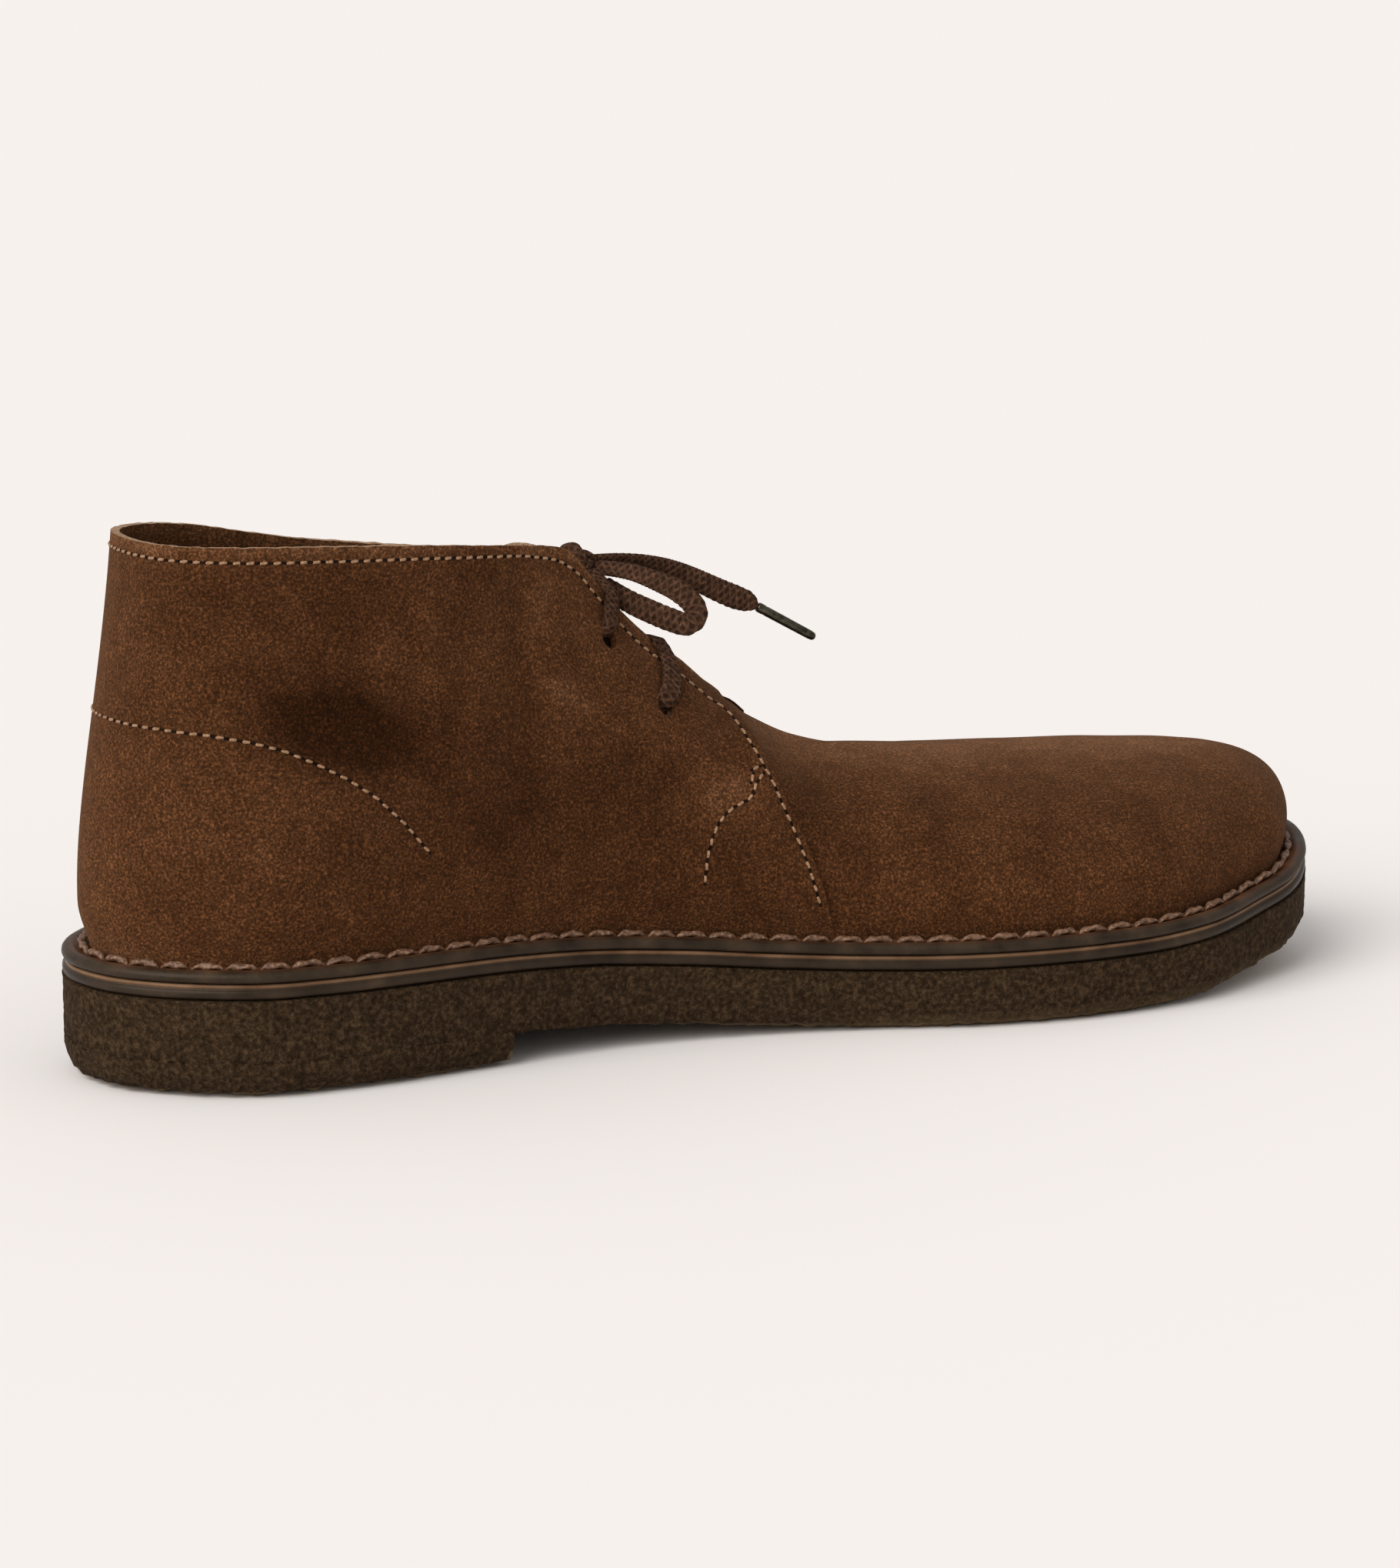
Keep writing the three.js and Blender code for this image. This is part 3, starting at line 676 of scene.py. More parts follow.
def waxed_leather(name, roughness, cloud, pore, darks, bares, gloss, reliefs, coat):
    """Leather that is bare where its stain is 0 and burnished with dark wax where it is 1"""
    leather, shader, add, link = material(name, roughness)
    stained, cloudy, fine = painted(add, "stain"), grain(add, cloud, 4), grain(add, pore, 3)
    dark, bare = ramp(add, cloudy, *darks), ramp(add, cloudy, *bares)
    link(mixed(add, stained, bare, dark), "Base Color")
    link(ramp(add, cloudy, *gloss), "Roughness")
    link(bump(add, fine, 0.0003, reliefs[0], bump(add, cloudy, 0.0006, reliefs[1])), "Normal")
    shader.inputs["Specular IOR Level"].default_value = 0.22
    shader.inputs["Specular Tint"].default_value = (1.0, 0.78, 0.56, 1)
    shader.inputs["Coat Weight"].default_value = coat[0]
    shader.inputs["Coat Roughness"].default_value = coat[1]
    return leather


edge_leather = waxed_leather(
    "edge_leather",
    0.4,
    cloud=120,
    pore=1400,
    darks=[(0.3, (0.012, 0.0075, 0.005)), (0.6, (0.03, 0.0195, 0.0125)), (0.8, (0.06, 0.037, 0.022))],
    bares=[(0.3, (0.1, 0.05, 0.025)), (0.7, (0.23, 0.13, 0.07))],
    gloss=[(0.3, 0.36), (0.75, 0.62)],
    reliefs=(0.25, 0.3),
    coat=(0.06, 0.25),
)


def edge_piece(name, rings, faces, stains, leather, node):
    piece = new_piece(name, rings.reshape(-1, 3), faces)
    turn_outward(piece)
    paint(piece, "stain", np.repeat(stains, rings.shape[1]))
    piece.data.materials.append(leather)
    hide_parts(node)


edge_places = even_places(1.6)
rings = band(edge_places, midsole_profile)
level_count = rings.shape[1]
faces = band_faces(len(rings), level_count)
for level in (0, len(rings) - 1):
    faces += lid_faces(len(edge_places), level_count, level * level_count)
edge_piece("midsole_edge", rings, faces, midsole_stain, edge_leather, "midsole")

# Welt
# A leather strip runs all round the upper and is sewn down through it with a thick waxed thread. Its
# rim is rounded and burnished dark, and the thread lies in a shallow channel beside the upper.
welt_profile = [
    (0.8, 17.0), (0.25, 17.3), (0.0, 17.85), (0.1, 18.5), (0.5, 19.05), (1.1, 19.4), (1.9, 19.5),
    (2.5, 19.42), (2.9, 19.1), (3.5, 18.85), (4.2, 18.8), (4.8, 18.95), (5.2, 19.3), (5.5, 19.4), (5.5, 17.0),
]
welt_stain = [1, 1, 1, 1, 0.97, 0.8, 0.45, 0.25, 0.1, 0.05, 0, 0, 0, 0, 0]
welt_margin = 5.5

welt_leather = waxed_leather(
    "welt_leather",
    0.5,
    cloud=150,
    pore=1500,
    darks=[(0.3, (0.013, 0.0085, 0.0055)), (0.55, (0.032, 0.021, 0.013)), (0.8, (0.065, 0.04, 0.024))],
    bares=[(0.3, (0.06, 0.021, 0.008)), (0.7, (0.16, 0.062, 0.026))],
    gloss=[(0.3, 0.38), (0.75, 0.65)],
    reliefs=(0.3, 0.35),
    coat=(0.05, 0.3),
)
rings = band(edge_places, welt_profile)
faces = band_faces(len(rings), rings.shape[1], closed=True)
edge_piece("welt_strip", rings, faces, welt_stain, welt_leather, "welt")

# Insole
# The insole is a flat leather board that lies inside the upper, glued down on the midsole. Its face is
# bare, and a little polished by the foot.
insole_leather, shader, add, link = material("insole_leather", 0.55)
cloudy = grain(add, 45, 5)
pores = grain(add, 1600, 3)
tan = ramp(add, cloudy, (0.3, (0.2, 0.11, 0.055)), (0.7, (0.36, 0.22, 0.12)))
link(mixed(add, 0.35, tan, ramp(add, pores, (0.35, 0.5), (0.65, 1.0)), "MULTIPLY"), "Base Color")
link(bump(add, pores, 0.0002, 0.3), "Normal")
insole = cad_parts["insole"]
insole.data.materials.clear()
insole.data.materials.append(insole_leather)

# Upper
# The upper is unlined brown suede: one piece of quarters that goes round the heel, laid over a vamp
# with a plain toe. Edges are left raw. The surface follows the CAD model's sections, and soft troughs
# and ridges are laid on it.
top_rows = table(
    "at reach medial lateral instep collar dip",
    [
        (0, 0.052, 0, 0, 1, 1, 0), (0.01, 0.0543, 0.068, 0.068, 1, 1, 0.01),
        (0.03, 0.063, 0.134, 0.134, 1, 1, 0.03),
        (0.06, 0.081, 0.187, 0.187, 1, 1, 0.08), (0.1, 0.11, 0.228, 0.228, 1, 0.998, 0.2),
        (0.14, 0.14, 0.249, 0.249, 1, 0.994, 0.4), (0.19, 0.178, 0.256, 0.256, 1, 0.98, 0.7),
        (0.25, 0.224, 0.249, 0.249, 1, 0.96, 0.95), (0.31, 0.273, 0.224, 0.224, 1, 0.932, 1),
        (0.36, 0.313, 0.189, 0.189, 1, 0.91, 0.98), (0.39, 0.338, 0.16, 0.16, 1, 0.896, 0.9),
        (0.405, 0.353, 0.14, 0.14, 1, 0.876, 0.8), (0.415, 0.365, 0.127, 0.127, 1, 0.836, 0.7),
        (0.425, 0.375, 0.12, 0.12, 1, 0.754, 0.6), (0.44, 0.3917, 0.111, 0.111, 1, 0.616, 0.45),
        (0.46, 0.42, 0.1, 0.1, 1, 0.41, 0.25), (0.48, 0.4567, 0.0886, 0.0886, 1, 0.222, 0.1),
        (0.4985, 0.493, 0.0738, 0.0738, 1, 0.03, 0), (0.5, 0.5, 0.009, -0.009, 0.99, 0, 0),
        (0.53, 0.533, 0.014, -0.014, 0.905, 0, 0), (0.56, 0.567, 0.019, -0.019, 0.815, 0, 0),
        (0.6, 0.61, 0.028, -0.028, 0.755, 0, 0), (0.63, 0.64, 0.035, -0.035, 0.736, 0, 0),
        (0.69, 0.7, 0.048, -0.048, 0.705, 0, 0), (0.76, 0.763, 0.058, -0.058, 0.682, 0, 0),
        (0.83, 0.817, 0.062, -0.062, 0.65, 0, 0), (0.89, 0.855, 0.062, -0.062, 0.61, 0, 0),
        (0.935, 0.878, 0.06, -0.06, 0.58, 0, 0), (0.968, 0.892, 0.058, -0.058, 0.556, 0, 0),
        (0.988, 0.9, 0.056, -0.056, 0.542, 0, 0), (1, 0.905, 0.055, -0.055, 0.53, 0, 0),
    ],
)
throat_end = 0.4985
quarter_rows = {name: values[top_rows["at"] <= throat_end] for name, values in top_rows.items()}
for name, value in (("at", 0.56), ("reach", 0.554), ("medial", 0.075), ("lateral", 0.075), ("instep", 0.82)):
    quarter_rows[name] = np.append(quarter_rows[name], value)
for name in ("collar", "dip"):
    quarter_rows[name] = np.append(quarter_rows[name], 0.0)
curve_rows = table(
    "at swell swell_rise shoulder drop",
    [
        (0, 0.028, 0.26, 0.034, 0.42), (0.1, 0.032, 0.27, 0.014, 0.42), (0.19, 0.034, 0.28, 0.005, 0.42),
        (0.31, 0.042, 0.3, 0.018, 0.38), (0.39, 0.05, 0.32, 0.05, 0.34), (0.44, 0.056, 0.34, 0.1, 0.28),
        (0.48, 0.06, 0.38, 0.16, 0.22), (0.5, 0.06, 0.42, 0.2, 0.12), (0.56, 0.06, 0.5, 0.25, 0.06),
        (0.63, 0.06, 0.55, 0.27, 0.03), (0.76, 0.055, 0.6, 0.27, 0.02), (0.89, 0.05, 0.62, 0.24, 0.02),
        (1, 0.04, 0.62, 0.2, 0.03),
    ],
)
instep_height = 48.5
collar_rise = 37.8
collar_dip = 6.0
upper_inset = welt_margin + 0.3


def skin(side, at, up, rows=top_rows, curves=curve_rows):
    """Outer face of the vamp's leather: a curve up each section, from the welt to the top line"""
    side, at, up = (np.array(value, float) for value in np.broadcast_arrays(side, at, up))
    point, normal = outline(side, at)
    foot = point - normal * upper_inset
    foot[..., 2] = rise(foot[..., 0]) + welt_top
    half = np.where(side > 0, read(rows, "lateral", at), read(rows, "medial", at))
    reach = read(rows, "reach", at) * foot_length
    height = instep_height * read(rows, "instep", at) + collar_rise * read(rows, "collar", at)
    height -= np.where(side > 0, collar_dip * read(rows, "dip", at), 0)
    top = np.stack([reach, side * half * ball_width, rise(reach) + welt_top + height], -1)
    tall = top[..., 2] - foot[..., 2]
    low = foot + normal * (read(curves, "swell", at) * ball_width)[..., None]
    low[..., 2] += read(curves, "swell_rise", at) * tall
    high = top + normal * (read(curves, "shoulder", at) * ball_width)[..., None]
    high[..., 2] -= read(curves, "drop", at) * tall
    u = up[..., None]
    v = 1 - u
    return v**3 * foot + 3 * v * v * u * low + 3 * v * u * u * high + u**3 * top


def ease(value, low, high):
    t = np.clip((value - low) / (high - low), 0, 1)
    return t * t * (3 - 2 * t)


def grid_faces(columns, rows, skip=lambda i, j: False):
    return [
        (i * rows + j, (i + 1) * rows + j, (i + 1) * rows + j + 1, i * rows + j + 1)
        for i in range(columns - 1)
        for j in range(rows - 1)
        if not skip(i, j)
    ]


def grid_normal(points):
    along, upward = np.gradient(points, axis=0), np.gradient(points, axis=1)
    return -unit(np.cross(along, upward))


# Creases: side, place, share up the section, half length and half width in millimetres,
# turn in degrees from level, height, which is below nought for a trough, and tone, which paints
# the suede darker where it is below nought and lighter where above: painted shade in the troughs
# and hollows, and lighter ridges
creases = table(
    "side at up long wide turn height tone",
    [
        (-1, 0.165, 0.625, 27, 9, -15, -2.3, -3.0),
        (-1, 0.175, 0.61, 12, 6, -10, 0, -1.2),
        (-1, 0.4, 0.3, 60, 22, -5, 0, -0.7),
        (1, 0.4, 0.3, 60, 22, -5, 0, -0.7),
        (-1, 0.12, 0.88, 40, 9, 0, 0, -0.7),
        (-1, 0.12, 0.74, 16, 6, -25, 0.5, 0.3),
        (-1, 0.212, 0.79, 9, 4, 80, 0.3, 1.0),
        (-1, 0.258, 0.8, 14, 3.5, 84, 0.2, 0.7),
        (-1, 0.3, 0.66, 22, 5, 62, 0.5, 0.2),
        (-1, 0.335, 0.6, 20, 4.5, 66, -0.6, -0.7),
        (-1, 0.37, 0.86, 10, 6, 50, 0.2, 1.3),
        (-1, 0.345, 0.82, 12, 4, 70, -0.3, -0.6),
        (-1, 0.378, 0.635, 11, 3.5, -38, 0.5, 1.4),
        (-1, 0.4, 0.54, 14, 4.5, -30, -0.6, -0.6),
        (-1, 0.26, 0.5, 20, 6, 20, 0.6, 0.1),
        (-1, 0.33, 0.36, 26, 7, 12, -0.8, -0.6),
        (-1, 0.42, 0.36, 16, 5, -30, 0.5, -0.2),
        (-1, 0.478, 0.48, 9, 4, 55, 0.5, 1.5),
        (-1, 0.08, 0.42, 18, 8, 10, 0.4, 0.2),
        (1, 0.19, 0.6, 19, 7, 6, -1.6, -1.6),
        (1, 0.29, 0.62, 20, 5, 60, 0.6, 0.6),
        (1, 0.34, 0.52, 22, 5, 52, -0.8, -0.8),
        (1, 0.39, 0.46, 16, 5, 45, 0.6, 0.8),
        (1, 0.3, 0.34, 24, 7, 8, -0.6, -0.6),
        (-1, 0.55, 0.62, 12, 4, 70, -0.6, -0.6),
        (-1, 0.6, 0.55, 15, 4.5, 75, 0.5, 0.5),
        (-1, 0.64, 0.6, 16, 3.6, 78, -0.7, -0.7),
        (1, 0.56, 0.6, 14, 4, 72, -0.6, -0.6),
        (1, 0.61, 0.56, 15, 4.5, 76, 0.5, 0.5),
        (1, 0.65, 0.6, 16, 3.6, 80, -0.7, -0.7),
    ],
)
section_length = 86.0


def creased(side, at, up, column="height"):
    total = np.zeros(np.broadcast(side, at, up).shape)
    for i in range(len(creases["at"])):
        line = {name: values[i] for name, values in creases.items()}
        ahead = (at - line["at"]) * foot_length
        above = (up - line["up"]) * section_length
        turn = math.radians(line["turn"])
        along = ahead * math.cos(turn) + above * math.sin(turn)
        across = above * math.cos(turn) - ahead * math.sin(turn)
        hill = np.exp(-((along / line["long"]) ** 2) - (across / line["wide"]) ** 2)
        total += np.where(side * line["side"] > 0, line[column] * hill, 0)
    return total


suede, shader, add, link = material("suede", 0.96)
tone = painted(add, "tone")
cloud, patch = grain(add, 38, 5, 0.6), grain(add, 150, 4, 0.6)
nap = grain(add, 1800, 2, 0.6)
# The suede's colour: random cloudy patches of brushed nap, plus the tone attribute, which paints shade into
# the troughs and hollows and lightens the ridges
brushed_and_shade = calc(add, "ADD", calc(add, "MULTIPLY", cloud, 0.28), calc(add, "MULTIPLY", patch, 0.18))
brushed_and_shade = calc(add, "ADD", calc(add, "ADD", brushed_and_shade, 0.27), calc(add, "MULTIPLY", tone, 0.09))
base = ramp(
    add,
    brushed_and_shade,
    (0.3, (0.026, 0.0085, 0.0024)),
    (0.46, (0.062, 0.0235, 0.0085)),
    (0.56, (0.086, 0.034, 0.013)),
    (0.72, (0.155, 0.069, 0.031)),
)
speck = ramp(add, nap, (0.34, 0.45), (0.5, 0.86), (0.6, 1.4), (0.7, 2.4))
link(mixed(add, 1.0, base, speck, "MULTIPLY"), "Base Color")
link(bump(add, nap, 0.0005, 0.55, bump(add, patch, 0.001, 0.2)), "Normal")
shader.inputs["Sheen Weight"].default_value = 0.1
shader.inputs["Sheen Roughness"].default_value = 0.5
shader.inputs["Sheen Tint"].default_value = (0.9, 0.5, 0.28, 1)
shader.inputs["Specular IOR Level"].default_value = 0.04

raw_edge, shader, add, link = material("raw_suede_edge", 0.98)
fluff = grain(add, 1600, 4, 0.7)
pale = ramp(add, fluff, (0.3, (0.14, 0.07, 0.035)), (0.5, (0.34, 0.2, 0.11)), (0.72, (0.6, 0.41, 0.26)))
link(pale, "Base Color")
link(bump(add, fluff, 0.0006, 0.7), "Normal")


def suede_sheet(name, points, faces, tone, thickness):
    """Gives a grid of points the suede's thickness, with raw edges"""
    piece = new_piece(name, points.reshape(-1, 3), faces)
    paint(piece, "tone", tone.ravel())
    shape = bmesh.new()
    shape.from_mesh(piece.data)
    bmesh.ops.remove_doubles(shape, verts=shape.verts, dist=2e-5)
    bmesh.ops.dissolve_degenerate(shape, edges=shape.edges, dist=1e-6)
    shape.to_mesh(piece.data)
    shape.free()
    piece.data.materials.append(suede)
    piece.data.materials.append(raw_edge)
    bpy.context.view_layer.objects.active = piece
    solid = piece.modifiers.new("thickness", "SOLIDIFY")
    solid.thickness = thickness / 1000
    solid.offset = -1
    solid.material_offset_rim = 1
    bpy.ops.object.modifier_apply(modifier=solid.name)
    return piece


def finish_edges(piece, angle=42):
    bpy.ops.object.select_all(action="DESELECT")
    piece.select_set(True)
    bpy.context.view_layer.objects.active = piece
    bpy.ops.object.shade_smooth_by_angle(angle=math.radians(angle))
    piece.select_set(False)


sheet_step = 1.3
quarter_step = 1.5
leather = 1.85
tuck = 0.6
overlap_lift = 0.5
inner_corner_drop = 0.5
outer_corner_drop = 1.9
front_sweep = 11.3  # how far the quarters' front edge runs forward on its way down
vamp_start = 0.468
vamp_swing = 0.4992
sheet_ups = np.concatenate([[0.0, 0.004], np.linspace(0.018, 1, 62)])


def front_of(up):
    return throat_end + front_sweep * (1 - up) / foot_length


# Vamp: from under the quarters to the toe; both sides meet on the ridge. Where it leaves the quarters
# its sections swing out to carry on theirs.
vamp_rows = {name: values.copy() for name, values in top_rows.items()}
vamp_rows["instep"][top_rows["at"] == 0.5] = 1.003
vamp_curves = {name: values.copy() for name, values in curve_rows.items()}
for name, value in (("swell", 0.05), ("swell_rise", 0.36), ("shoulder", 0.3), ("drop", 0.0)):
    vamp_curves[name][curve_rows["at"] == 0.5] = value
vamp_places = even_places(sheet_step, vamp_start, 1)
at, up = np.meshgrid(vamp_places, sheet_ups, indexing="ij")
halves = []
for side in (-1, 1):
    swung = skin(side, at, up, vamp_rows, vamp_curves)
    half = np.where((at < vamp_swing)[..., None], skin(side, at, up), swung)
    halves.append(half if side < 0 else half[:, ::-1])
bare = np.concatenate(halves, 1)
vamp_up = np.concatenate([up, up[:, ::-1]], 1)
vamp_at = np.concatenate([at, at], 1)
vamp_side = np.concatenate([-np.ones_like(at), np.ones_like(at)], 1)
split = len(sheet_ups) - 1
vamp_faces = grid_faces(*bare.shape[:2], lambda i, j: j == split and vamp_places[i + 1] < 0.4995)
vamp_tree = BVHTree.FromPolygons([tuple(p) for p in bare.reshape(-1, 3)], vamp_faces)
along, upward = np.gradient(bare, axis=0), np.gradient(bare, axis=1)
for half in (slice(0, split + 1), slice(split + 1, None)):
    upward[:, half] = np.gradient(bare[:, half], axis=1)
vamp_normal = unit(np.cross(along, upward))
low_edge = [0, -1]
tucked = ease(front_of(vamp_up) - vamp_at, 0.002, 0.02)
lift = creased(vamp_side, vamp_at, vamp_up) * ease(vamp_up, 0.02, 0.2) - tuck * tucked
points = bare + vamp_normal * lift[..., None]
points[:, low_edge, 2] -= welt_top - welt_low
# Tone from the creases: painted shade in the troughs and hollows, lighter on the ridges
vamp_shade_and_tone = creased(vamp_side, vamp_at, vamp_up, "tone")
# Painted light: the vamp's top, forward of the throat, is painted lighter, as where it faces the light
vamp_shade_and_tone += 1.7 * ease(vamp_up, 0.6, 1) * ease(vamp_at, 0.5, 0.56)
vamp = suede_sheet("vamp", points, vamp_faces, vamp_shade_and_tone, leather)
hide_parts("upper")
finish_edges(vamp)

# Quarters: from the inner front edge round the heel to the outer one
quarter_places = even_places(sheet_step, 0, throat_end)
columns_at = np.concatenate([quarter_places[:0:-1], quarter_places])
columns_side = np.concatenate([-np.ones(len(quarter_places) - 1), np.ones(len(quarter_places))])
at, up = np.meshgrid(columns_at, sheet_ups, indexing="ij")
quarter_side = np.repeat(columns_side[:, None], len(sheet_ups), 1)
quarter_at = at + (front_of(up) - throat_end) * ease(at, 0.4, throat_end)
base_points = skin(quarter_side, quarter_at, up, quarter_rows)
weight = ease(quarter_at, 0.486, 0.5)
for i, j in zip(*np.nonzero(weight > 0)):
    nearest = np.array(vamp_tree.find_nearest(Vector(base_points[i, j]))[0])
    base_points[i, j] += weight[i, j] * (nearest - base_points[i, j])
quarter_normal = grid_normal(base_points)
quarter_lift = quarter_step * ease(up, 0, 0.13) + overlap_lift * weight * ease(up, 0, 0.13)
quarter_lift -= np.where(quarter_side > 0, outer_corner_drop, inner_corner_drop) * weight * ease(up, 0.86, 1)
quarter_lift += creased(quarter_side, quarter_at, up) * ease(up, 0.02, 0.2) * (1 - 0.6 * ease(up, 0.85, 1))
quarter_points = base_points + quarter_normal * quarter_lift[..., None]
quarter_points[:, 0, 2] -= welt_top - welt_low
# Tone from the creases: painted shade in the troughs and hollows, lighter on the ridges; also lighter along
# the collar's top and next to the welt
quarter_shade_and_tone = creased(quarter_side, quarter_at, up, "tone")
quarter_shade_and_tone += 1.6 * ease(up, 0.955, 1) + 0.8 * ease(-up, -0.1, 0)
points = quarter_points.copy()
points[:, -1, 2] += [0.2 * noise.noise(Vector((i * 0.47, 2.0, 0.0))) for i in range(len(points))]
quarter_faces = [face[::-1] for face in grid_faces(*points.shape[:2])]
quarters = suede_sheet("quarters", points, quarter_faces, quarter_shade_and_tone, leather)
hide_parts("upper")


def on_quarter(side, at, up, lift=0.0):
    """Point over the quarters' outer face, and the face's normal there"""
    high = np.interp(up, sheet_ups, np.arange(len(sheet_ups)))
    row = min(int(high), len(sheet_ups) - 2)
    columns = np.nonzero(columns_side == side)[0]
    places = quarter_at[columns, row] * (row + 1 - high) + quarter_at[columns, row + 1] * (high - row)
    order = np.argsort(places)
    column = np.interp(at, places[order], columns[order])
    left = min(int(column), len(columns_at) - 2)
    a, b = column - left, high - row

    def blend(grid):
        low = grid[left, row] * (1 - a) + grid[left + 1, row] * a
        top = grid[left, row + 1] * (1 - a) + grid[left + 1, row + 1] * a
        return low * (1 - b) + top * b

    normal = unit(blend(quarter_normal))
    return blend(quarter_points) + normal * lift, normal


eyelet_radius = 2.3
eyelets = {"lower": (0.463, 0.73), "upper": (0.4352, 0.832)}
for side in (-1, 1):
    for at_eyelet, up_eyelet in eyelets.values():
        middle, normal = on_quarter(side, at_eyelet, up_eyelet)
        bpy.ops.mesh.primitive_cylinder_add(vertices=32, radius=eyelet_radius / 1000, depth=0.009)
        punch = bpy.context.object
        punch.rotation_euler = Vector(normal).to_track_quat("Z", "Y").to_euler()
        punch.location = to_frame(middle)
        hole = quarters.modifiers.new("hole", "BOOLEAN")
        hole.object = punch
        hole.solver = "EXACT"
        punch.data.materials.append(suede)
        bpy.context.view_layer.objects.active = quarters
        bpy.ops.object.modifier_apply(modifier=hole.name)
        bpy.data.objects.remove(punch)
finish_edges(quarters)

# Tongue
# A single thickness of the same suede, sewn under the vamp at the throat's base. It lies under both
# quarters, arches over the throat and ends in a cut top edge just below the collar's corner.
tongue_rows = table(
    "at drop crown",
    [
        (0.398, 0.32, 1.9), (0.405, 0.28, 1.7), (0.415, 0.25, 1.5), (0.425, 0.27, 1.2), (0.44, 0.3, 0.6),
        (0.46, 0.35, 0), (0.48, 0.45, -0.2), (0.4985, 0.6, -0.3), (0.52, 1.4, 0),
    ],
)
tongue_thickness = 1.6
tongue_gap = 0.3
tongue_span = (0.398, 0.52)
tongue_width = 11
places = np.linspace(*tongue_span, 44)
under_ups = np.linspace(0.84, 1, tongue_width)
sheets = []
for place in places:
    flanks = []
    depth = 1.8 * (1 + read(tongue_rows, "drop", place)) + tongue_gap
    for side in (-1, 1):
        at, up = np.meshgrid([place - 0.002, place, place + 0.002], under_ups, indexing="ij")
        flank = skin(side, at, up, quarter_rows)
        normal = grid_normal(flank) * side
        flanks.append((flank - normal * depth)[1])
    inner, outer = flanks[0], flanks[1][::-1]
    share = np.linspace(0, 1, 17)[1:-1, None]
    bridge = inner[-1] * (1 - share) + outer[0] * share
    arch = read(tongue_rows, "crown", place) * (1 - (2 * share[:, 0] - 1) ** 2)
    bridge[:, 2] += arch
    bridge[:, 0] += 0.6 * arch
    row = np.vstack([inner, bridge, outer])
    sheets.append(row)
points = np.array(sheets)
for _ in range(6):
    points[:, 1:-1] = 0.5 * points[:, 1:-1] + 0.25 * (points[:, 2:] + points[:, :-2])
wander = np.array([[noise.noise(Vector(point) / 9) for point in row] for row in points])
points[..., 2] += 0.35 * wander
tongue = suede_sheet("tongue_sheet", points, grid_faces(*points.shape[:2]), wander, tongue_thickness)
turn_outward(tongue)
finish_edges(tongue)
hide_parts("tongue")

# Lace through the eyelets
# The same lace crosses over both edges between the lower eyelets, goes up inside to the upper ones,
# comes out there and runs over the edges to the knot.
knot_middle = np.array((116.0, -4.4, 102.6))
over = lace_thickness / 2 + 0.1
behind = -leather - 1.6
# Place, share up the section, height over the leather and width, from the collar to the crossing
strand_rows = [
    (0.4425, 0.996, over + 0.2, 4.2),
    (0.4412, 0.96, over, 4.4),
    (0.4388, 0.915, over, 4.3),
    (0.4366, 0.88, over - 0.1, 4.2),
    (0.4356, 0.86, -0.8, 3.8),
    (0.4356, 0.848, behind, 3.6),
    (0.441, 0.825, behind, 3.6),
    (0.456, 0.785, behind, 3.6),
    (0.4628, 0.741, behind, 3.6),
    (0.464, 0.751, -0.8, 4.6),
    (0.4658, 0.774, over - 0.1, 5.0),
    (0.4694, 0.825, over, 5.1),
    (0.4716, 0.88, over, 5.1),
    (0.472, 0.94, over - 0.1, 4.9),
    (0.471, 0.98, over - 0.3, 4.6),
    (0.4695, 1.0, over - 0.7, 4.4),
]
strands = {-1: [], 1: []}
for side, rows in strands.items():
    rows.append((knot_middle + (1.2, side * 4.0, -1.6), (0.3, 0.6 * side, 0.7), 3.8))
    for at, up, lift, width in strand_rows:
        rows.append((*on_quarter(side, at, up, lift), width))
crossing = []
ends = [on_quarter(side, 0.4675, 1.0)[0] for side in (-1, 1)]
for share, sag in ((0.2, 1.4), (0.5, 2.2), (0.8, 1.4)):
    middle = ends[0] * (1 - share) + ends[1] * share - (0, 0, sag)
    crossing.append((middle, (0.5, 0.0, 0.87), 4.2))


def lace_of(name, rows, thickness=lace_thickness):
    points, flats, widths = (np.array(part, float) for part in zip(*rows))
    return lace(name, points, flats, widths, thickness)[0]


throat_lace = lace_of("throat_lace", strands[-1] + crossing + strands[1][::-1], 1.7)
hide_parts("lace_lower", "strand_near", "strand_far")

# Knot
# The bow's knot is the lace wrapped once round both loops and pulled tight, with a small fold of
# lace that stands up behind it. A row is a point, the way that the flat side faces, and the width.
wrap = []
for turn in np.linspace(-0.6, 2 * math.pi + 0.9, 15):
    aside = -1.6 + 3.2 * turn / (2 * math.pi)
    place = (2.4 * math.sin(turn) + 0.7, aside, 2.1 * math.cos(turn) - 0.8)
    wrap.append((knot_middle + place, (math.sin(turn), 0.0, math.cos(turn)), 4.4))
fold = [
    (knot_middle + (-0.2, -4.4, -1.6), (0, -0.7, 0.7), 3.2),
    (knot_middle + (-1.4, -3.9, 1.0), (-0.5, -0.6, 0.6), 3.4),
    (knot_middle + (-2.0, -2.0, 2.9), (-0.2, 0, 1), 3.4),
    (knot_middle + (-1.8, 0.6, 2.4), (0, 0.6, 0.8), 3.4),
    (knot_middle + (-0.6, 2.4, 0.0), (0, 0.9, 0.3), 3.2),
]
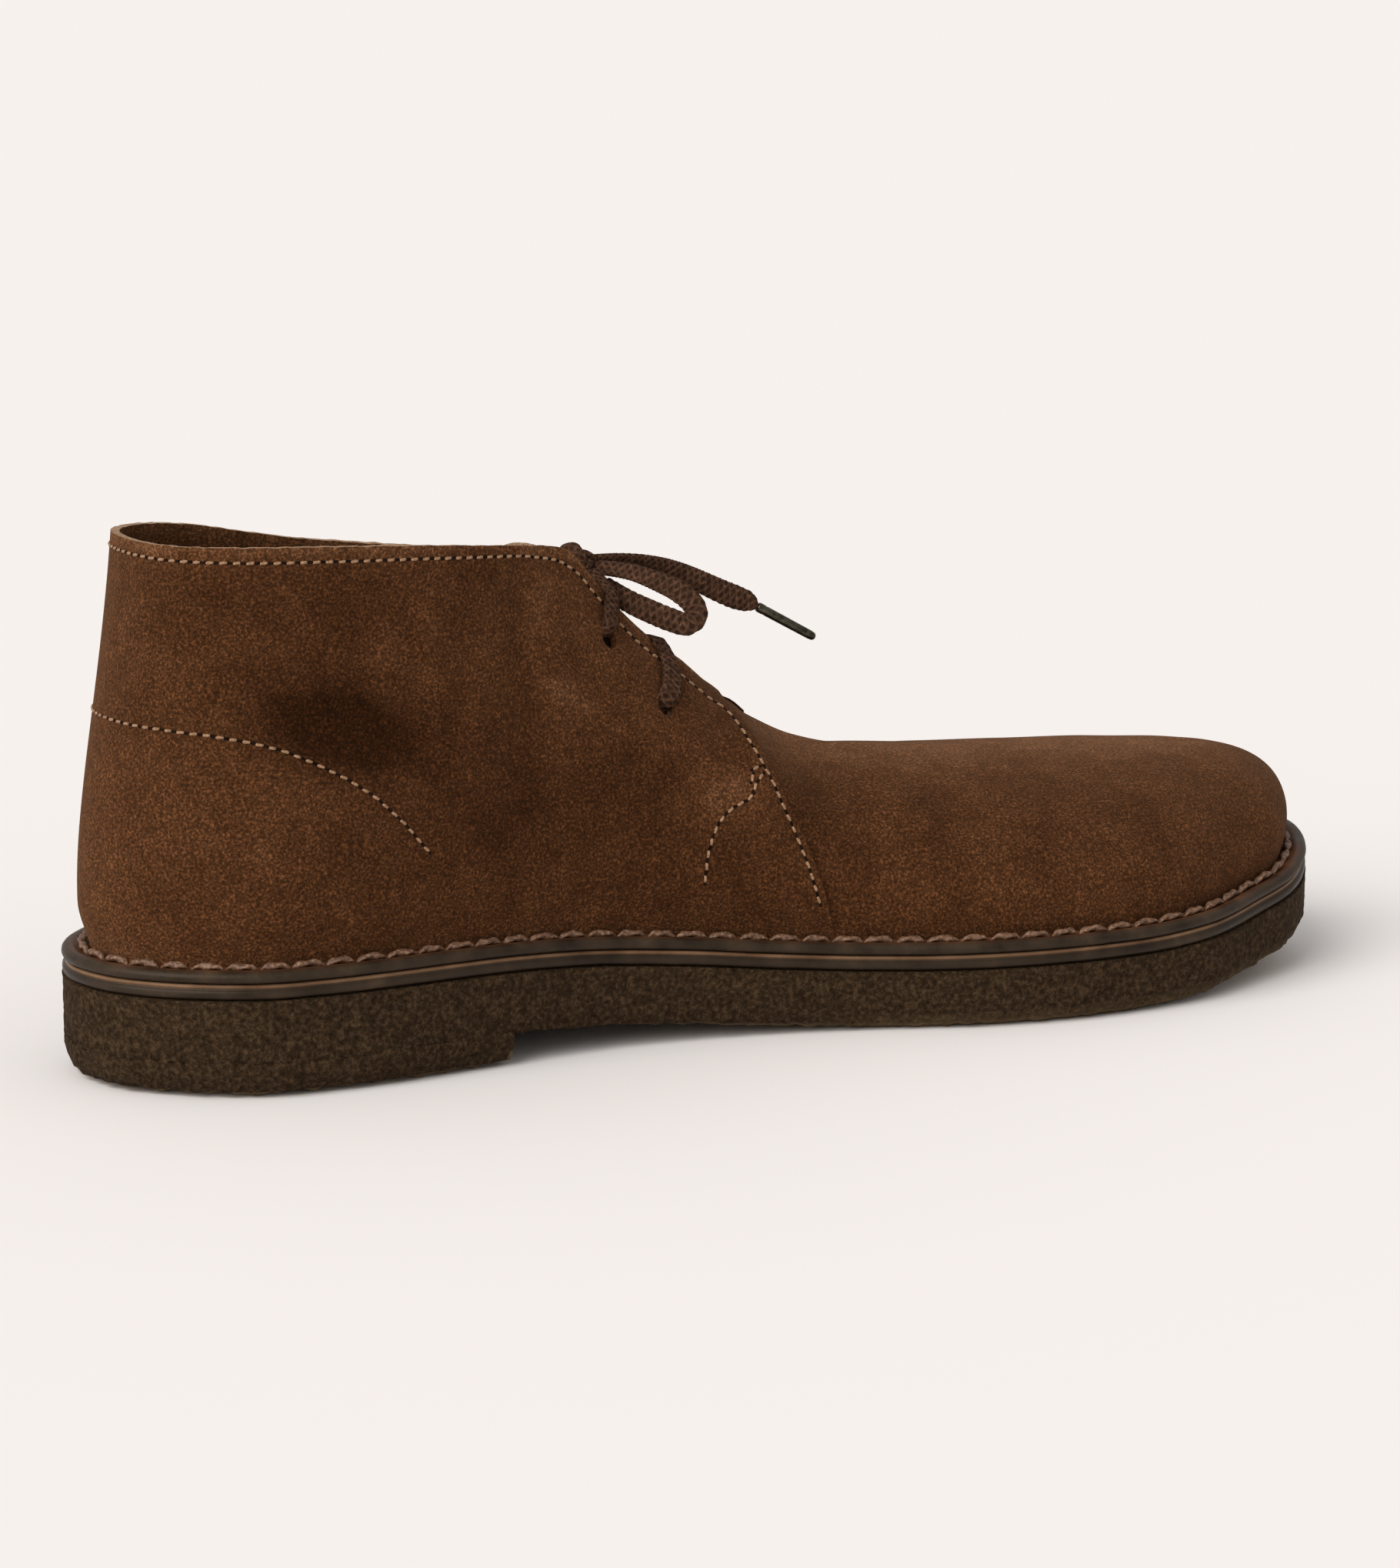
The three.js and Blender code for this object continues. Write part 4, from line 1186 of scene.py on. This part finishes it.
core = [
    (knot_middle + (0.9, -4.6, -1.7), (0.2, -0.5, 0.8), 3.6),
    (knot_middle + (0.4, -2.6, -0.4), (0.3, -0.2, 0.9), 4.2),
    (knot_middle + (0.8, 0.6, -0.2), (0.3, 0.2, 0.9), 4.2),
    (knot_middle + (0.9, 4.4, -1.7), (0.2, 0.5, 0.8), 3.6),
]
parts = [lace_of("knot_wrap", wrap), lace_of("knot_fold", fold), lace_of("knot_core", core, 3.0)]
bpy.ops.object.select_all(action="DESELECT")
for part in parts:
    part.select_set(True)
knot = parts[0]
bpy.context.view_layer.objects.active = knot
bpy.ops.object.join()
knot.name = "knot"
knot.select_set(False)
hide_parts("lace_knot")

# Stitches
# Tan thread shows along the collar, down the throat's edges, where the vamp's tab is tacked under
# the quarters, and round the heel over the counter. Each stitch dips into a hole at both ends.
thread, shader, add, link = material("thread", 0.7)
ply = grain(add, 2200, 3, 0.6)
tan = ramp(add, ply, (0.3, (0.16, 0.08, 0.035)), (0.55, (0.34, 0.19, 0.1)), (0.75, (0.5, 0.31, 0.18)))
link(tan, "Base Color")
link(bump(add, ply, 0.0003, 0.6), "Normal")
# Painted shade: a near-black finish on small discs stands in for the shade inside each stitch hole
hole_shade_finish, shader, add, link = material("stitch_shade_disc", 1.0)
depths = grain(add, 900, 2)
link(ramp(add, depths, (0.3, (0.006, 0.003, 0.002)), (0.7, (0.02, 0.01, 0.006))), "Base Color")
shader.inputs["Specular IOR Level"].default_value = 0.05

stitch_pitch = 2.75
fine_thread = {"length": 1.95, "thick": 0.66, "sink": 0.22, "ply": 0.12, "lean": 0.12}
round_heel = {
    "collar": [
        (0.4, 0.965), (0.3637, 0.976), (0.31, 0.974), (0.25, 0.973), (0.19, 0.972), (0.12, 0.971),
        (0.065, 0.972), (0.03, 0.973), (0.01, 0.974), (0.0, 0.974),
    ],
    "counter": [
        (0.2325, 0.278), (0.2136, 0.367), (0.1911, 0.444), (0.1704, 0.494), (0.1453, 0.537), (0.1183, 0.575),
        (0.0913, 0.598), (0.0635, 0.614), (0.029, 0.624), (0.012, 0.626), (0.0, 0.628),
    ],
}
each_side = {
    "throat": [
        (0.4, 0.965), (0.4122, 0.953), (0.43, 0.948), (0.448, 0.936), (0.4661, 0.924), (0.4778, 0.915),
        (0.487, 0.895), (0.4935, 0.868), (0.498, 0.825), (0.5012, 0.77), (0.504, 0.69), (0.507, 0.61),
        (0.5095, 0.548), (0.512, 0.47), (0.5165, 0.36), (0.521, 0.25), (0.525, 0.14),
    ],
    "tack_outer": [(0.5045, 0.615), (0.499, 0.602), (0.4958, 0.568), (0.494, 0.54)],
    "tack_inner": [
        (0.505, 0.59), (0.5015, 0.571), (0.4967, 0.544), (0.494, 0.514), (0.4895, 0.483), (0.4832, 0.456),
        (0.476, 0.421), (0.468, 0.375), (0.46, 0.32), (0.452, 0.25), (0.446, 0.17),
    ],
}
stitch_rows = {}
for name, spots in round_heel.items():
    stitch_rows[name] = [(-1, *spot) for spot in spots] + [(1, *spot) for spot in spots[-2::-1]]
for side, end in ((-1, "_near"), (1, "_far")):
    for name, spots in each_side.items():
        stitch_rows[name + end] = [(side, *spot) for spot in spots]


def seam(rows, pitch):
    """Middle, direction and outward normal of each stitch along rows of (side, at, up)"""
    rows = np.array(rows, float)
    steps = np.linspace(0, len(rows) - 1, 40 * (len(rows) - 1) + 1)
    signed = np.interp(steps, np.arange(len(rows)), rows[:, 0] * rows[:, 1])
    heights = np.interp(steps, np.arange(len(rows)), rows[:, 2])
    always = np.sign(rows[0, 0]) if (rows[:, 0] == rows[0, 0]).all() else 0
    spots = [on_quarter(always or (1 if s > 0 else -1), abs(s), h) for s, h in zip(signed, heights)]
    line, normals = (np.array(part) for part in zip(*spots))
    kernel = np.ones(15) / 15
    for k in range(3):
        padded = np.pad(line[:, k], 7, mode="reflect", reflect_type="odd")
        line[:, k] = np.convolve(padded, kernel, "valid")
    run = run_along(line)
    middles = np.arange(pitch / 2, run[-1], pitch)
    ahead = unit(sample(line, run, middles + 0.4) - sample(line, run, middles - 0.4))
    return sample(line, run, middles), ahead, square_to(unit(sample(normals, run, middles)), ahead)


def thread_run(seams, length, thick, sink, stations=7, around=8, ply=0.0, lean=0.0):
    """Joined stitches: each an arched, slightly twisted piece of thread"""
    share = np.linspace(-1, 1, stations)
    turn = 2 * np.pi * np.arange(around) / around
    points, faces = [], []
    for number, (middle, ahead, normal) in enumerate(zip(*seams)):
        aside = np.cross(normal, ahead)
        ahead = unit(ahead + lean * aside)
        aside = np.cross(normal, ahead)
        size = thick / 2 * np.sqrt(np.clip(1 - np.abs(share) ** 3, 0.06, 1))
        lift = sink * (0.55 - 1.7 * share**4)
        start = len(points)
        grow = 1 + 0.07 * math.sin(number * 2.4)
        for i, s in enumerate(share):
            centre = middle + ahead * (s * length / 2 * grow) + normal * lift[i]
            twist = 1 + ply * np.cos(2 * turn + 5.2 * s + number)
            ring = centre + (size[i] * twist)[:, None] * (
                np.cos(turn)[:, None] * aside + 0.8 * np.sin(turn)[:, None] * normal
            )
            points.extend(ring)
        faces += band_faces(stations, around, start=start)
        faces.append(tuple(start + j for j in reversed(range(around))))
        faces.append(tuple(start + (stations - 1) * around + j for j in range(around)))
    return np.array(points), faces


def hole_shade_run(seams, length, radius):
    """Small near-black discs just over the leather at both ends of each stitch: painted shade of the stitch
    holes
    """
    around = 8
    turn = 2 * np.pi * np.arange(around) / around
    points, faces = [], []
    for middle, ahead, normal in zip(*seams):
        aside = np.cross(normal, ahead)
        for end in (-1, 1):
            centre = middle + ahead * end * length / 2 + normal * 0.03
            start = len(points)
            ring = np.cos(turn)[:, None] * ahead * 1.25 + np.sin(turn)[:, None] * aside
            points.extend(centre + ring * radius)
            points.extend(centre + ring * radius * 0.5 + normal * 0.05)
            points.extend(centre + ring * radius - normal * 0.3)
            for j in range(around):
                k = (j + 1) % around
                faces.append((start + j, start + k, start + around + k, start + around + j))
                faces.append((start + 2 * around + j, start + 2 * around + k, start + k, start + j))
            faces.append(tuple(start + around + j for j in range(around)))
            faces.append(tuple(start + 2 * around + j for j in reversed(range(around))))
    return np.array(points), faces


for name, rows in stitch_rows.items():
    seams = seam(rows, stitch_pitch)
    stitches = new_piece("stitches_" + name, *thread_run(seams, **fine_thread))
    holes = new_piece("stitch_shade_discs_" + name, *hole_shade_run(seams, length=2.3, radius=0.36))
    for piece, finish in ((stitches, thread), (holes, hole_shade_finish)):
        turn_outward(piece)
        piece.data.materials.append(finish)

# Welt stitches
# The thread that sews the welt is two thick waxed plies. Each stitch is a low arch that lies in the
# welt's channel, close against the upper.
waxed, shader, add, link = material("waxed_thread", 0.5)
ply = grain(add, 1300, 3, 0.6)
wax = ramp(add, ply, (0.3, (0.06, 0.028, 0.014)), (0.52, (0.17, 0.085, 0.045)), (0.72, (0.38, 0.22, 0.13)))
link(wax, "Base Color")
link(bump(add, ply, 0.0004, 0.6), "Normal")
welt_pitch = 7.0
welt_seam_inset = 4.35
sides, at = loop_of(even_places(0.5))
point, normal = outline(sides, at)
line = point - normal * welt_seam_inset
line[:, 2] = rise(line[:, 0]) + welt_top
line = np.vstack([line, line[:1]])
run = run_along(line)
count = round(run[-1] / welt_pitch)
middles = (np.arange(count) + 0.5) * run[-1] / count
ahead = unit(sample(line, run, middles + 1) - sample(line, run, middles - 1))
seams = (sample(line, run, middles), ahead, square_to(np.tile((0.0, 0.0, 1.0), (count, 1)), ahead))
points, faces = thread_run(seams, length=6.7, thick=1.75, sink=0.5, stations=19, around=12, ply=0.2)
welt_thread = new_piece("welt_stitches", points, faces)
turn_outward(welt_thread)
welt_thread.data.materials.append(waxed)

# Studio
# A plain pale floor in an even white room. One very broad soft light comes from above and behind the
# heel, on the boot's inner side.
floor_paint, shader, add, link = material("floor_paint", 0.9)
shader.inputs["Base Color"].default_value = (0.935, 0.895, 0.875, 1)
shader.inputs["Specular IOR Level"].default_value = 0.0
bpy.ops.mesh.primitive_plane_add(size=60)
floor = bpy.context.object
floor.name = "floor"
floor.data.materials.append(floor_paint)
world = bpy.data.worlds.new("studio")
world.use_nodes = True
world.node_tree.nodes["Background"].inputs["Color"].default_value = (1.0, 0.99, 0.98, 1)
world.node_tree.nodes["Background"].inputs["Strength"].default_value = 0.56
bpy.context.scene.world = world
key_from = Vector((-0.74, -0.3, 0.6))
key = bpy.data.lights.new("key", "SUN")
key.energy = 2.3
key.angle = math.radians(50)
key.color = (1.0, 0.98, 0.96)
key_light = bpy.data.objects.new("key", key)
key_light.location = key_from
key_light.rotation_euler = (-key_from).to_track_quat("-Z", "Y").to_euler()
bpy.context.collection.objects.link(key_light)
bpy.context.scene.view_settings.view_transform = "Standard"

bpy.context.view_layer.update()
